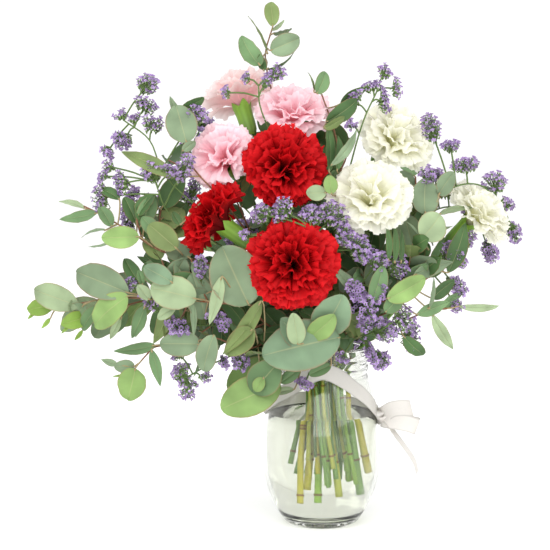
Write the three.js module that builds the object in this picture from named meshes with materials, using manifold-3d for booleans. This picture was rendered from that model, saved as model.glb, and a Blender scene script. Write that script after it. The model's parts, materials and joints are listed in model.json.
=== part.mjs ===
// A bouquet of ruffled carnations, eucalyptus and statice in a ribboned glass jar.
// Millimetres, +Z up. The origin is the centre of the jar's flat base; -Y faces the viewer.
import * as THREE from "three";
import * as BufferGeometryUtils from "three/addons/utils/BufferGeometryUtils.js";
import Module from "manifold-3d";

const wasm = await Module();
wasm.setup();

// ---- driving dimensions -------------------------------------------------------------------

const GAP = 0.3; // clearance between neighbouring pieces
const TRIM = 0.4; // how much a piece is grown before a neighbour is cut by it
const SLIVER = 0.005; // edges shorter than this are left out of a finished piece
const CORNER_STEP = 1e-4; // corners nearer to each other than this count as one

// outer profile of the jar, [radius, height]: flat base, round heel, long shoulder, straight neck
const JAR_HEEL = [[28, 0], [31, 2.5], [36.7, 11], [41, 19.5], [46.5, 36], [48.5, 56]];
const JAR_SHOULDER = [[48.5, 76], [47.5, 86], [42.3, 110], [38.4, 121]];
const NECK_RADIUS = 37.5;
const NECK_BOTTOM = 124;
const JAR_HEIGHT = 146;
const THREAD_HEIGHTS = [129, 136]; // two ridges that a lid would screw on to
const THREAD_DEPTH = 1.2;
const THREAD_REACH = 2; // how far above and below its crest a ridge runs out
const LIP_ROUNDING = { outer: 1, inner: 0.8, outerDrop: 1.5, innerDrop: 1.2 };
const GLASS_WALL = 3;
const JAR_FLOOR = 6.5; // thickness of the jar's bottom
const JAR_CORNER = [[34, 3], [29, 0]]; // its rounding inside, [radius, height above that floor]
const WATER_LEVEL = 90;
const JAR_SEGMENTS = 28;

// the stems pass through the neck as one bundle and spread again towards the jar's floor
const WAIST_HEIGHT = 112;
const WAIST_CENTRE = [4, 0];
const STEM_SPACING = 4.2; // between neighbouring stems in the waist
const STEM_RINGS = 4; // rings of stems around the middle one
const STEEPEST_FIRST = 0.9; // share of the bundle's radius that the steepest stems aim for
const LEAST_RISE = 30; // a stem's rise above its waist is taken as no less than this
const RIM_SPREAD = 1.65; // how much wider the bundle is at the rim than at its waist
const FOOT_SPREAD = 2.0; // how much wider it would be at the jar's floor
const FOOT_TWIST = 0.75; // radians that the bundle turns between its waist and the floor

// foot: height of the lowest cut end; sides: corners of the stem's section
const CARNATION_STEM = { radius: 1.6, foot: 22, sides: 5 };
const EUCALYPTUS_STEM = { radius: 1.2, foot: 36, sides: 4 };
const STATICE_STEM = { radius: 0.8, foot: 54, sides: 4 };
const FOOT_STEPS = [0, 14, 5, 20, 9]; // how much higher the cut ends are, stem by stem
const LEAF_THICKNESS = 1.6;

const CALYX = { radius: 7.2, length: 27, sides: 8 };
const CALYX_OUTLINE = [[0.45, 1], [0.85, 0.8]]; // [share of radius, share of length below its top]
const STEM_IN_CALYX = 4; // how far a stem reaches into its calyx
const STEM_BEND = { back: 18, drop: 8 }; // where a stem turns into its bloom's axis
// how far below its middle a bloom sits in its calyx, as a share of its radius
const BLOOM_UNDERSIDE = -0.36;

const RIBBON_WIDTH = 13;
const RIBBON_THICKNESS = 0.8;
const RIBBON_GAP = 0.9; // between the ribbon and the glass at the middle of its width
const KNOT_RADIUS = 7;

const COLOURS = {
  red: 0xcf0d12, pink: 0xf5c3cb, white: 0xf2f0dc, calyx: 0x7faa2e, leaf: 0x7f9a78,
  statice: 0x937bbd, glass: 0xe4ece8, water: 0xe9f1ef, ribbon: 0xede8e2,
};

// ---- where everything is ------------------------------------------------------------------

// each bloom: its middle, its radius and the way it faces
const CARNATIONS = {
  red_1: { colour: "red", at: [-31, -70, 294], radius: 34, faces: [0.25, -0.85, 0.45] },
  red_2: { colour: "red", at: [-85, -72, 254], radius: 31, faces: [-0.8, 0.1, 0.55] },
  red_3: { colour: "red", at: [-25, -97, 222], radius: 35, faces: [0.05, -0.96, 0.25] },
  pink_1: { colour: "pink", at: [-68, -5, 350], radius: 30, faces: [-0.3, 0.4, 0.9] },
  pink_2: { colour: "pink", at: [-24, -35, 336], radius: 31, faces: [0.05, -0.45, 0.9] },
  pink_3: { colour: "pink", at: [-79, -52, 302], radius: 29, faces: [-0.4, -0.75, 0.5] },
  white_1: { colour: "white", at: [58, -30, 316], radius: 32, faces: [0.4, -0.7, 0.55] },
  white_2: { colour: "white", at: [35, -72, 271], radius: 33, faces: [0, -0.75, 0.65] },
  white_3: { colour: "white", at: [124, -30, 256], radius: 30, faces: [0.65, -0.3, 0.7] },
};

// each sprig: the points of its stem above the rim, and its leaves as
// [base, tip, width, degrees that the blade is rolled away from the viewer]
const EUCALYPTUS = {
  top: {
    stem: [[-20, 0, 270], [-34, 4, 330], [-44, -8, 366], [-46, -16, 383], [-41, -22, 401]],
    leaves: [
      [[-40, -23, 404], [-42, -10, 424], 11, 10],
      [[-41, -25, 401], [-31, -21, 409], 6, 60],
      [[-40, -27, 398], [-25, -26, 402], 8, 70],
      [[-42, -40, 384], [-19, -35, 394], 16, 15],
      [[-44, -35, 382], [-60, -13, 413], 7, 78],
      [[-45, -45, 369], [-22, -36, 385], 8, 75],
      [[-50, -49, 372], [-65, -31, 396], 14, 12],
      [[-47, -47, 368], [-50, -39, 381], 7, 20],
    ],
  },
  top_right: {
    stem: [[12, -34, 241], [14, -34, 291], [8, -40, 322], [-2, -46, 350]],
    leaves: [
      [[-6, -59, 350], [1, -49, 367], 11, 20],
      [[-8, -59, 351], [-13, -51, 367], 4, 65],
      [[1, -74, 328], [25, -61, 345], 13, 20],
      [[-1, -77, 323], [15, -72, 332], 8, 35],
      [[4, -88, 295], [24, -73, 322], 9, 30],
      [[3, -78, 290], [1, -63, 330], 11, 40],
      [[9, -78, 291], [10, -69, 318], 9, 30],
      [[12, -58, 342], [35, -45, 356], 9, 20],
      [[4, -100, 274], [2, -99, 288], 10, 10],
      [[0, -100, 275], [-15, -104, 275], 11, 15],
    ],
  },
  left_high: {
    stem: [[-50, -46, 228], [-79, -65, 268], [-105, -64, 299], [-111, -53, 336]],
    leaves: [
      [[-106, -71, 312], [-115, -55, 341], 22, 6],
      [[-110, -53, 339], [-93, -57, 347], 9, 35],
      [[-109, -72, 306], [-99, -74, 313], 7, 20],
      [[-113, -69, 285], [-159, -40, 305], 13, 20],
      [[-110, -85, 250], [-116, -83, 260], 7, 20],
      [[-111, -47, 333], [-121, -36, 349], 8, 40],
    ],
  },
  left: {
    stem: [
      [-54, -53, 205], [-104, -67, 223], [-127, -66, 229],
      [-151, -56, 243], [-176, -40, 256], [-190, -32, 262],
    ],
    leaves: [
      [[-160, -49, 268], [-176, -39, 276], 9, 40],
      [[-166, -52, 247], [-176, -46, 262], 10, 20],
      [[-146, -58, 250], [-156, -51, 270], 11, 20],
      [[-140, -66, 251], [-145, -63, 263], 7, 25],
      [[-178, -43, 257], [-211, -23, 251], 11, 25],
      [[-189, -32, 260], [-212, -18, 265], 7, 45],
      [[-143, -70, 240], [-174, -52, 238], 16, 10],
      [[-171, -47, 244], [-192, -34, 237], 5, 65],
      [[-163, -52, 236], [-187, -37, 230], 5, 65],
      [[-128, -73, 241], [-141, -67, 255], 11, 20],
      [[-113, -86, 232], [-135, -76, 250], 17, 10],
    ],
  },
  left_bunch: {
    stem: [
      [-48, -48, 172], [-93, -63, 186], [-136, -61, 191],
      [-168, -46, 190], [-194, -29, 184], [-216, -14, 178],
    ],
    leaves: [
      [[-217, -14, 181], [-241, -2, 176], 13, 15],
      [[-234, -3, 174], [-241, -2, 168], 3, 20],
      [[-221, -10, 170], [-229, -7, 161], 4, 20],
      [[-195, -32, 182], [-234, -9, 193], 19, 15],
      [[-190, -38, 184], [-210, -23, 161], 16, 10],
      [[-178, -44, 183], [-192, -33, 163], 11, 20],
      [[-152, -65, 196], [-196, -37, 210], 24, 10],
      [[-152, -68, 194], [-181, -46, 168], 21, 15],
      [[-139, -69, 186], [-151, -54, 159], 13, 20],
      [[-159, -54, 175], [-169, -44, 157], 7, 20],
      [[-144, -58, 203], [-156, -53, 222], 11, 20],
      [[-116, -71, 216], [-146, -57, 224], 11, 30],
      [[-117, -83, 206], [-139, -73, 217], 14, 12],
      [[-141, -66, 203], [-144, -66, 214], 6, 20],
      [[-135, -76, 192], [-144, -74, 203], 9, 15],
      [[-121, -75, 185], [-134, -57, 155], 13, 20],
    ],
  },
  left_low: {
    stem: [
      [-36, -40, 159], [-72, -55, 160], [-109, -57, 154],
      [-133, -53, 152], [-140, -48, 145], [-150, -40, 133],
    ],
    leaves: [
      [[-132, -57, 154], [-167, -40, 147], 10, 25],
      [[-135, -58, 151], [-129, -49, 120], 10, 15],
      [[-164, -34, 135], [-178, -30, 139], 6, 20],
      [[-150, -41, 135], [-167, -35, 134], 10, 15],
      [[-149, -44, 134], [-156, -37, 107], 21, 8],
      [[-158, -34, 127], [-169, -30, 125], 2, 10],
      [[-119, -55, 153], [-125, -63, 170], 9, 30],
    ],
  },
  centre_left: {
    stem: [
      [-24, -44, 158], [-46, -70, 173], [-59, -88, 190],
      [-79, -86, 190], [-96, -81, 191], [-111, -76, 189],
    ],
    leaves: [
      [[-58, -104, 191], [-78, -103, 235], 36, 8],
      [[-98, -90, 194], [-134, -76, 201], 24, 12],
      [[-101, -89, 193], [-101, -78, 163], 8, 50],
      [[-92, -76, 177], [-102, -80, 213], 21, 20],
      [[-78, -109, 213], [-88, -100, 175], 11, 25],
      [[-114, -82, 187], [-129, -73, 177], 9, 20],
      [[-108, -83, 189], [-128, -75, 187], 3, 10],
    ],
  },
  front_left: {
    stem: [[-14, -36, 157], [-38, -62, 160], [-61, -72, 153], [-85, -74, 162], [-97, -71, 158]],
    leaves: [
      [[-96, -74, 157], [-128, -64, 156], 19, 15],
      [[-85, -87, 166], [-94, -67, 135], 16, 15],
      [[-97, -74, 160], [-103, -55, 128], 9, 70],
      [[-48, -112, 195], [-79, -84, 150], 14, 30],
      [[-55, -98, 172], [-76, -82, 150], 17, 10],
      [[-36, -78, 143], [-56, -65, 118], 24, 10],
      [[-34, -62, 125], [-81, -55, 103], 28, 10],
      [[-47, -75, 131], [-54, -71, 120], 9, 15],
      [[-23, -62, 120], [-43, -62, 115], 7, 30],
      [[-19, -74, 138], [-34, -69, 126], 9, 20],
    ],
  },
  front_right: {
    stem: [[-3, -34, 158], [3, -62, 160], [6, -81, 162], [4, -90, 176]],
    leaves: [
      [[11, -93, 165], [-48, -87, 150], 35, 10],
      [[-16, -86, 158], [-34, -102, 180], 17, 15],
      [[-4, -87, 167], [13, -99, 198], 27, 12],
      [[-12, -93, 165], [7, -102, 183], 16, 10],
      [[-21, -97, 160], [-25, -114, 186], 13, 12],
      [[5, -76, 141], [-12, -74, 133], 9, 20],
    ],
  },
  right_high: {
    stem: [[29, -45, 188], [56, -60, 219], [75, -63, 240], [86, -57, 263], [96, -48, 278]],
    leaves: [
      [[89, -57, 272], [102, -47, 289], 14, 15],
      [[78, -63, 257], [79, -58, 285], 21, 12],
      [[74, -77, 239], [89, -69, 257], 22, 10],
      [[88, -62, 257], [119, -43, 261], 7, 40],
      [[80, -72, 230], [61, -83, 253], 6, 70],
      [[48, -87, 223], [46, -89, 251], 6, 30],
      [[53, -84, 221], [52, -86, 252], 6, 30],
      [[58, -82, 221], [58, -83, 247], 6, 30],
      [[97, -56, 211], [111, -48, 250], 16, 15],
    ],
  },
  right: {
    stem: [[28, -24, 180], [50, -60, 190], [65, -65, 198], [85, -60, 210], [99, -55, 217]],
    leaves: [
      [[68, -79, 211], [100, -62, 220], 14, 15],
      [[47, -90, 194], [77, -77, 209], 17, 15],
      [[36, -87, 192], [44, -87, 219], 13, 20],
      [[36, -81, 192], [4, -93, 221], 11, 20],
      [[84, -65, 192], [102, -56, 205], 11, 20],
      [[81, -69, 184], [84, -72, 209], 6, 40],
      [[71, -71, 180], [98, -60, 189], 11, 20],
      [[46, -84, 183], [59, -83, 198], 13, 15],
    ],
  },
  right_low: {
    stem: [[16, -32, 157], [43, -58, 168], [66, -65, 176], [79, -64, 181], [100, -52, 183]],
    leaves: [
      [[84, -64, 179], [103, -44, 149], 10, 15],
      [[106, -50, 184], [142, -27, 182], 7, 20],
      [[62, -67, 162], [79, -54, 146], 11, 20],
      [[92, -55, 182], [110, -48, 195], 9, 25],
    ],
  },
};

// each spray: the points of its stem above the rim, and its flower heads as [middle, width, height]
const STATICE = {
  left_high: {
    stem: [
      [-48, -39, 223], [-85, -56, 252], [-106, -62, 269],
      [-125, -59, 289], [-136, -50, 314], [-158, -33, 330],
    ],
    heads: [
      [[-139, -26, 359], 18, 17],
      [[-140, -35, 342], 21, 11],
      [[-161, -27, 334], 11, 11],
      [[-149, -35, 331], 9, 10],
      [[-134, -45, 327], 18, 13],
      [[-159, -37, 314], 17, 15],
      [[-171, -33, 305], 13, 9],
    ],
  },
  left: {
    stem: [[-52, -39, 211], [-87, -53, 236], [-121, -59, 258], [-131, -61, 282]],
    heads: [
      [[-170, -37, 294], 11, 9],
      [[-175, -36, 286], 9, 9],
      [[-159, -47, 281], 21, 12],
      [[-176, -39, 269], 30, 13],
      [[-134, -59, 290], 17, 17],
      [[-119, -67, 290], 16, 9],
      [[-108, -71, 293], 13, 28],
      [[-99, -57, 334], 16, 15],
    ],
  },
  top: {
    stem: [[-26, -40, 243], [-37, -49, 306], [-50, -58, 341], [-51, -56, 356]],
    heads: [
      [[-77, -53, 351], 11, 6],
      [[-61, -48, 363], 9, 8],
      [[-44, -51, 361], 8, 17],
      [[-36, -48, 367], 13, 13],
    ],
  },
  right_high: {
    stem: [[10, -36, 243], [22, -45, 299], [31, -55, 331], [41, -48, 352]],
    heads: [
      [[48, -33, 368], 13, 11],
      [[37, -44, 356], 18, 9],
      [[57, -37, 355], 18, 7],
      [[22, -55, 345], 21, 9],
      [[47, -48, 345], 22, 9],
      [[20, -67, 326], 8, 8],
    ],
  },
  right_edge: {
    stem: [[34, -30, 203], [73, -42, 247], [100, -40, 276], [123, -32, 279], [142, -23, 265]],
    heads: [
      [[84, -41, 324], 15, 26],
      [[100, -38, 310], 16, 10],
      [[112, -35, 295], 25, 12],
      [[137, -22, 281], 21, 20],
      [[148, -17, 263], 10, 17],
      [[154, -14, 240], 13, 20],
      [[80, -57, 287], 12, 16],
    ],
  },
  right: {
    stem: [[29, -28, 178], [65, -48, 204], [92, -52, 219], [106, -50, 231]],
    heads: [
      [[113, -44, 236], 12, 21],
      [[100, -52, 227], 17, 17],
      [[109, -47, 218], 8, 12],
      [[105, -49, 200], 12, 21],
      [[105, -47, 184], 10, 12],
    ],
  },
  centre: {
    stem: [[-7, -53, 189], [-10, -84, 227], [-12, -106, 253]],
    heads: [
      [[-49, -95, 259], 16, 14],
      [[-33, -96, 262], 22, 16],
      [[-10, -95, 258], 20, 16],
      [[7, -92, 258], 24, 21],
      [[15, -92, 242], 19, 16],
      [[27, -89, 232], 24, 16],
      [[-61, -95, 243], 8, 8],
    ],
  },
  centre_right: {
    stem: [[10, -45, 172], [27, -76, 203], [39, -86, 220]],
    heads: [
      [[40, -84, 223], 20, 16],
      [[57, -77, 218], 21, 16],
      [[23, -90, 200], 20, 13],
      [[41, -84, 199], 20, 13],
      [[15, -90, 188], 8, 9],
      [[31, -85, 187], 24, 20],
    ],
  },
  front_right: {
    stem: [[12, -33, 159], [31, -58, 162], [46, -78, 170]],
    heads: [
      [[34, -79, 175], 19, 19],
      [[47, -71, 167], 19, 22],
      [[61, -70, 177], 24, 17],
      [[69, -58, 161], 24, 14],
      [[36, -63, 149], 7, 27],
      [[45, -56, 142], 16, 16],
      [[14, -67, 146], 12, 6],
    ],
  },
  left_low: {
    stem: [[-28, -36, 164], [-70, -62, 170], [-112, -66, 173], [-134, -68, 186]],
    heads: [
      [[-151, -58, 202], 11, 12],
      [[-136, -66, 190], 9, 24],
      [[-127, -72, 214], 15, 6],
      [[-114, -70, 170], 20, 14],
      [[-107, -66, 159], 8, 8],
      [[-82, -84, 177], 20, 16],
      [[-95, -86, 219], 9, 21],
    ],
  },
  bottom_left: {
    stem: [[-17, -34, 160], [-56, -58, 152], [-93, -59, 137], [-109, -51, 127]],
    heads: [
      [[-113, -57, 147], 16, 6],
      [[-112, -51, 135], 14, 8],
      [[-111, -46, 125], 27, 13],
      [[-108, -44, 113], 14, 9],
      [[-93, -52, 128], 9, 10],
      [[-78, -63, 141], 7, 12],
      [[-65, -65, 142], 13, 16],
      [[-15, -56, 124], 13, 10],
    ],
  },
};

// sprigs at the back are front ones mirrored through the bouquet, turned and drawn in a little
const BACK_SCALE = 0.88;
const BACK_EUCALYPTUS = {
  left_bunch: 12, left: -30, centre_left: -16, right: 14, right_high: -9, top_right: 20, front_left: 10,
}; // degrees turned about the jar's axis
const BACK_STATICE = { left: 14, left_high: -26, right_edge: -12, centre: 18, front_right: 8 };

// ---- small helpers ------------------------------------------------------------------------

const vec = (point) => new THREE.Vector3(...point);

// the triangles that are left once vertices in one place are merged into one
function solidOf(geometry) {
  geometry.deleteAttribute("normal");
  geometry.deleteAttribute("uv");
  const merged = BufferGeometryUtils.mergeVertices(geometry, CORNER_STEP);
  const triangles = [];
  for (let i = 0; i < merged.index.count; i += 3) {
    const [a, b, c] = merged.index.array.slice(i, i + 3);
    if (a !== b && b !== c && c !== a) triangles.push(a, b, c);
  }
  return new wasm.Manifold(new wasm.Mesh({
    numProp: 3,
    vertProperties: Float32Array.from(merged.attributes.position.array),
    triVerts: Uint32Array.from(triangles),
  }));
}

function geometryOf(solid) {
  const mesh = solid.getMesh();
  const geometry = new THREE.BufferGeometry();
  geometry.setAttribute("position", new THREE.BufferAttribute(mesh.vertProperties, 3));
  geometry.setIndex(new THREE.BufferAttribute(mesh.triVerts, 1));
  return geometry;
}

function facets(points, faces) {
  const geometry = new THREE.BufferGeometry();
  const coordinates = points.flatMap((p) => p.toArray());
  geometry.setAttribute("position", new THREE.Float32BufferAttribute(coordinates, 3));
  geometry.setIndex(faces.flat());
  return geometry;
}

// a profile of [radius, height] pairs turned about the Z axis
function turned(profile, segments) {
  const outline = profile.map(([radius, height]) => new THREE.Vector2(radius, height));
  return new THREE.LatheGeometry(outline, segments).rotateX(Math.PI / 2);
}

function tube(curve, radius, sides, steps) {
  const corners = Array.from({ length: sides }, (_, i) => {
    const angle = (2 * Math.PI * i) / sides;
    return new THREE.Vector2(radius * Math.cos(angle), radius * Math.sin(angle));
  });
  const options = { steps, bevelEnabled: false, extrudePath: curve };
  return new THREE.ExtrudeGeometry(new THREE.Shape(corners), options);
}

// a flat strip of a given section: across is the direction of its width at each point
function strip(points, across, width, thickness, closed) {
  const corners = [];
  const faces = [];
  const count = points.length;
  points.forEach((point, i) => {
    const next = points[closed ? (i + 1) % count : Math.min(i + 1, count - 1)];
    const last = points[closed ? (i + count - 1) % count : Math.max(i - 1, 0)];
    const along = next.clone().sub(last).normalize();
    const wide = across[i].clone().addScaledVector(along, -across[i].dot(along)).normalize();
    const thick = along.clone().cross(wide);
    for (const [u, v] of [[-1, -1], [1, -1], [1, 1], [-1, 1]]) {
      const corner = point.clone().addScaledVector(wide, (u * width) / 2);
      corners.push(corner.addScaledVector(thick, (v * thickness) / 2));
    }
  });
  const quad = (a, b, c, d) => faces.push([a, b, c], [a, c, d]);
  for (let i = 0; i < (closed ? count : count - 1); i++) {
    const [here, there] = [4 * i, 4 * ((i + 1) % count)];
    for (let k = 0; k < 4; k++) {
      const next = (k + 1) % 4;
      // both broad faces are split along the same diagonal, so that they can't cross in a twist
      if (k === 2) quad(here + next, there + next, there + k, here + k);
      else quad(here + k, here + next, there + next, there + k);
    }
  }
  if (!closed) {
    quad(3, 2, 1, 0);
    const end = 4 * (count - 1);
    quad(end, end + 1, end + 2, end + 3);
  }
  return facets(corners, faces);
}

// ---- the jar, the water and the ribbon ----------------------------------------------------

const JAR_OUTSIDE = [...JAR_HEEL, ...JAR_SHOULDER, [NECK_RADIUS, NECK_BOTTOM]];

function outsideRadius(height) {
  const i = JAR_OUTSIDE.findIndex(([, z]) => z >= height);
  if (i < 1) return i === 0 ? JAR_OUTSIDE[0][0] : NECK_RADIUS;
  const [[r0, z0], [r1, z1]] = [JAR_OUTSIDE[i - 1], JAR_OUTSIDE[i]];
  return r0 + ((r1 - r0) * (height - z0)) / (z1 - z0);
}

function neckOutside(grow) {
  const profile = [];
  for (const height of THREAD_HEIGHTS) {
    profile.push([NECK_RADIUS + grow, height - THREAD_REACH]);
    profile.push([NECK_RADIUS + THREAD_DEPTH + grow, height], [NECK_RADIUS + grow, height + THREAD_REACH]);
  }
  const { outer, outerDrop } = LIP_ROUNDING;
  profile.push([NECK_RADIUS + grow, JAR_HEIGHT - outerDrop]);
  profile.push([NECK_RADIUS - outer + grow, JAR_HEIGHT + grow]);
  return profile;
}

// the inner wall from the mouth down to the floor, moved in by inset
function jarInside(inset) {
  const wall = JAR_OUTSIDE.filter(([, z]) => z >= 19).map(([r, z]) => [r - GLASS_WALL - inset, z]);
  const floor = [...JAR_CORNER, [0, 0]].map(([r, z]) => [r, JAR_FLOOR + z + inset]);
  return [...wall.reverse(), ...floor];
}

function glassJar() {
  const bore = NECK_RADIUS - GLASS_WALL;
  const { inner, innerDrop } = LIP_ROUNDING;
  const lip = [[bore + inner, JAR_HEIGHT], [bore, JAR_HEIGHT - innerDrop]];
  const profile = [[0, 0], ...JAR_OUTSIDE, ...neckOutside(0), ...lip, ...jarInside(0)];
  return solidOf(turned(profile, JAR_SEGMENTS));
}

// the jar as one filled body with its hollow cut back, a little thicker than the glass
function jarKeepOut() {
  const outside = JAR_OUTSIDE.map(([r, z]) => [r + TRIM, z]);
  const lip = [[NECK_RADIUS - GLASS_WALL - TRIM, JAR_HEIGHT + TRIM]];
  const profile = [[0, -1], ...outside, ...neckOutside(TRIM), ...lip, ...jarInside(TRIM)];
  return solidOf(turned(profile, JAR_SEGMENTS));
}

function water() {
  const wall = jarInside(GAP).filter(([, z]) => z < WATER_LEVEL).reverse();
  const surface = [outsideRadius(WATER_LEVEL) - GLASS_WALL - GAP, WATER_LEVEL];
  return solidOf(turned([...wall, surface, [0, WATER_LEVEL]], JAR_SEGMENTS));
}

// the ribbon's loop round the jar climbs to the neck in front and lies on the shoulder elsewhere
const BAND_HEIGHTS = [
  [0, 89], [45, 91], [90, 94], [135, 95], [180, 96], [225, 113], [270, 130], [315, 112], [360, 89],
];
const BAND_STEPS = 24;
const KNOT = [51, -10, 90];
const LOOP_HIGH = [
  [51, -10, 90], [57, -13, 99], [66, -15, 103], [72, -13, 98], [67, -11, 92], [58, -10, 89],
];
const LOOP_LOW = [[51, -10, 88], [62, -15, 88], [73, -17, 86], [78, -16, 81], [71, -12, 79], [60, -10, 82]];
const TAIL = [[51, -13, 87], [57, -17, 78], [66, -18, 66], [74, -17, 54], [78, -16, 44]];

function ribbonBand(grow) {
  const known = BAND_HEIGHTS.map(([degrees, z]) => new THREE.Vector3(degrees, 0, z));
  const heights = new THREE.CatmullRomCurve3(known);
  const [points, across] = [[], []];
  for (let i = 0; i < BAND_STEPS; i++) {
    const height = heights.getPoint(i / BAND_STEPS).z;
    const angle = (2 * Math.PI * i) / BAND_STEPS;
    const out = new THREE.Vector3(Math.cos(angle), Math.sin(angle), 0);
    const [low, high] = [height - RIBBON_WIDTH / 2, height + RIBBON_WIDTH / 2];
    const reach = Math.max(outsideRadius(height), (outsideRadius(low) + outsideRadius(high)) / 2);
    points.push(out.clone().multiplyScalar(reach + RIBBON_THICKNESS / 2 + RIBBON_GAP).setZ(height));
    const slope = out.clone().multiplyScalar(outsideRadius(high) - outsideRadius(low));
    across.push(slope.setZ(RIBBON_WIDTH));
  }
  return strip(points, across, RIBBON_WIDTH + 2 * grow, RIBBON_THICKNESS + 2 * grow, true);
}

function ribbonLoop(route, lean, closed, grow) {
  const points = route.map(vec);
  const across = points.map(() => vec(lean));
  return strip(points, across, RIBBON_WIDTH + 2 * grow, RIBBON_THICKNESS + 2 * grow, closed);
}

function ribbon(grow) {
  const knot = new THREE.IcosahedronGeometry(KNOT_RADIUS + grow, 0).translate(...KNOT);
  return solidOf(ribbonBand(grow))
    .add(solidOf(knot))
    .add(solidOf(ribbonLoop(LOOP_HIGH, [0.2, 1, 0.3], true, grow)))
    .add(solidOf(ribbonLoop(LOOP_LOW, [0.1, 1, -0.2], true, grow)))
    .add(solidOf(ribbonLoop(TAIL, [0.7, 0.3, 0.4], false, grow)));
}

// ---- where each stem runs -----------------------------------------------------------------

// places in the waist, ring by ring, as in a closely packed bundle
function waistPlaces() {
  const places = [];
  const row = STEM_SPACING * Math.sqrt(0.75);
  for (let i = -STEM_RINGS; i <= STEM_RINGS; i++) {
    for (let j = -STEM_RINGS; j <= STEM_RINGS; j++) {
      if (Math.abs(i + j) > STEM_RINGS) continue;
      places.push(new THREE.Vector2(STEM_SPACING * (i + j / 2), row * j));
    }
  }
  return places;
}

// how steeply a stem leans out of the bundle, as sideways travel for each unit of rise
function leanOf(target) {
  const lean = new THREE.Vector2(target.x - WAIST_CENTRE[0], target.y - WAIST_CENTRE[1]);
  return lean.divideScalar(Math.max(LEAST_RISE, target.z - WAIST_HEIGHT));
}

// the steeper a stem leans, the further out its place in the waist is, so that stems fan out
function assignPlaces(targets) {
  const free = waistPlaces();
  const chosen = {};
  const lean = (name) => leanOf(targets[name]).length();
  const names = Object.keys(targets).sort((a, b) => lean(b) - lean(a));
  const reach = STEM_SPACING * STEM_RINGS * STEEPEST_FIRST;
  names.forEach((name, rank) => {
    const share = Math.sqrt(1 - (rank + 0.5) / names.length);
    const wish = leanOf(targets[name]).setLength(reach * share);
    free.sort((a, b) => a.distanceTo(wish) - b.distanceTo(wish));
    chosen[name] = free.shift();
  });
  return chosen;
}

function inBundle(place, spread, twist, height) {
  const at = place.clone().rotateAround(new THREE.Vector2(), twist).multiplyScalar(spread);
  return new THREE.Vector3(WAIST_CENTRE[0] + at.x, WAIST_CENTRE[1] + at.y, height);
}

// below its waist the whole bundle spreads and turns evenly with depth
function underWaist(place, height) {
  const depth = (WAIST_HEIGHT - height) / (WAIST_HEIGHT - JAR_FLOOR);
  return inBundle(place, 1 + (FOOT_SPREAD - 1) * depth, FOOT_TWIST * depth, height);
}

// a stem from its cut end in the water, through the waist and the mouth, then along route
function stemCurve(place, foot, route) {
  const heights = [foot, (WAIST_HEIGHT + foot) / 2, WAIST_HEIGHT];
  const below = heights.map((height) => underWaist(place, height));
  const rim = inBundle(place, RIM_SPREAD, 0, JAR_HEIGHT);
  return new THREE.CatmullRomCurve3([...below, rim, ...route], false, "centripetal");
}

// ---- carnations ---------------------------------------------------------------------------

// outline of a bloom seen from the side, [share of radius, share of radius along its axis]
const BLOOM_PROFILE = [
  [0, BLOOM_UNDERSIDE], [0.5, -0.28], [0.93, -0.04], [1, 0.2], [0.72, 0.48], [0, 0.6],
];
const BLOOM_SEGMENTS = 14;
const RUFFLE = 0.05; // share of the radius that every second edge point stands in or out

function facing(direction) {
  return new THREE.Quaternion().setFromUnitVectors(new THREE.Vector3(0, 0, 1), vec(direction).normalize());
}

function bloom({ at, radius, faces }, grow) {
  const profile = BLOOM_PROFILE.map(([r, z]) => [r * radius, z * radius]);
  const geometry = turned(profile, BLOOM_SEGMENTS);
  const position = geometry.attributes.position;
  for (let i = 0; i < position.count; i++) {
    const p = new THREE.Vector3().fromBufferAttribute(position, i);
    const around = Math.atan2(p.y, p.x);
    const ruffle = 1 + RUFFLE * Math.cos((around * BLOOM_SEGMENTS) / 2) * (Math.hypot(p.x, p.y) / radius);
    p.multiply(new THREE.Vector3(ruffle, ruffle, 1));
    position.setXYZ(i, ...p.setLength(p.length() + grow).toArray());
  }
  return solidOf(geometry.applyQuaternion(facing(faces)).translate(...at));
}

const calyxTop = (flower) => BLOOM_UNDERSIDE * flower.radius - GAP;

function calyx(flower, grow) {
  const { radius, length, sides } = CALYX;
  const neck = CALYX_OUTLINE.map(([r, z]) => [r * radius, -z * length]);
  const profile = [[0, -length], ...neck, [radius, 0], [0, 0]];
  const geometry = turned(profile.map(([r, z]) => [r ? r + grow : 0, z + (z ? -grow : grow)]), sides);
  geometry.translate(0, 0, calyxTop(flower));
  return solidOf(geometry.applyQuaternion(facing(flower.faces)).translate(...flower.at));
}

function carnationRoute(flower) {
  const axis = vec(flower.faces).normalize();
  const base = vec(flower.at).addScaledVector(axis, calyxTop(flower) - CALYX.length + STEM_IN_CALYX);
  const bend = base.clone().addScaledVector(axis, -STEM_BEND.back);
  bend.z -= STEM_BEND.drop;
  return [bend, base];
}

// ---- eucalyptus ---------------------------------------------------------------------------

// half outline of a leaf, [share of length, share of half width]
const LEAF_OUTLINE = [[0.3, 0.9], [0.72, 0.8]];
const LEAF_MIDDLE = 0.45; // share of the length where a blade is thickest
const STALK_MARGIN = 1.1; // how clearly a stalk has to start behind its blade's shoulders
const VIEWER = new THREE.Vector3(0, -1, 0);

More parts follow.
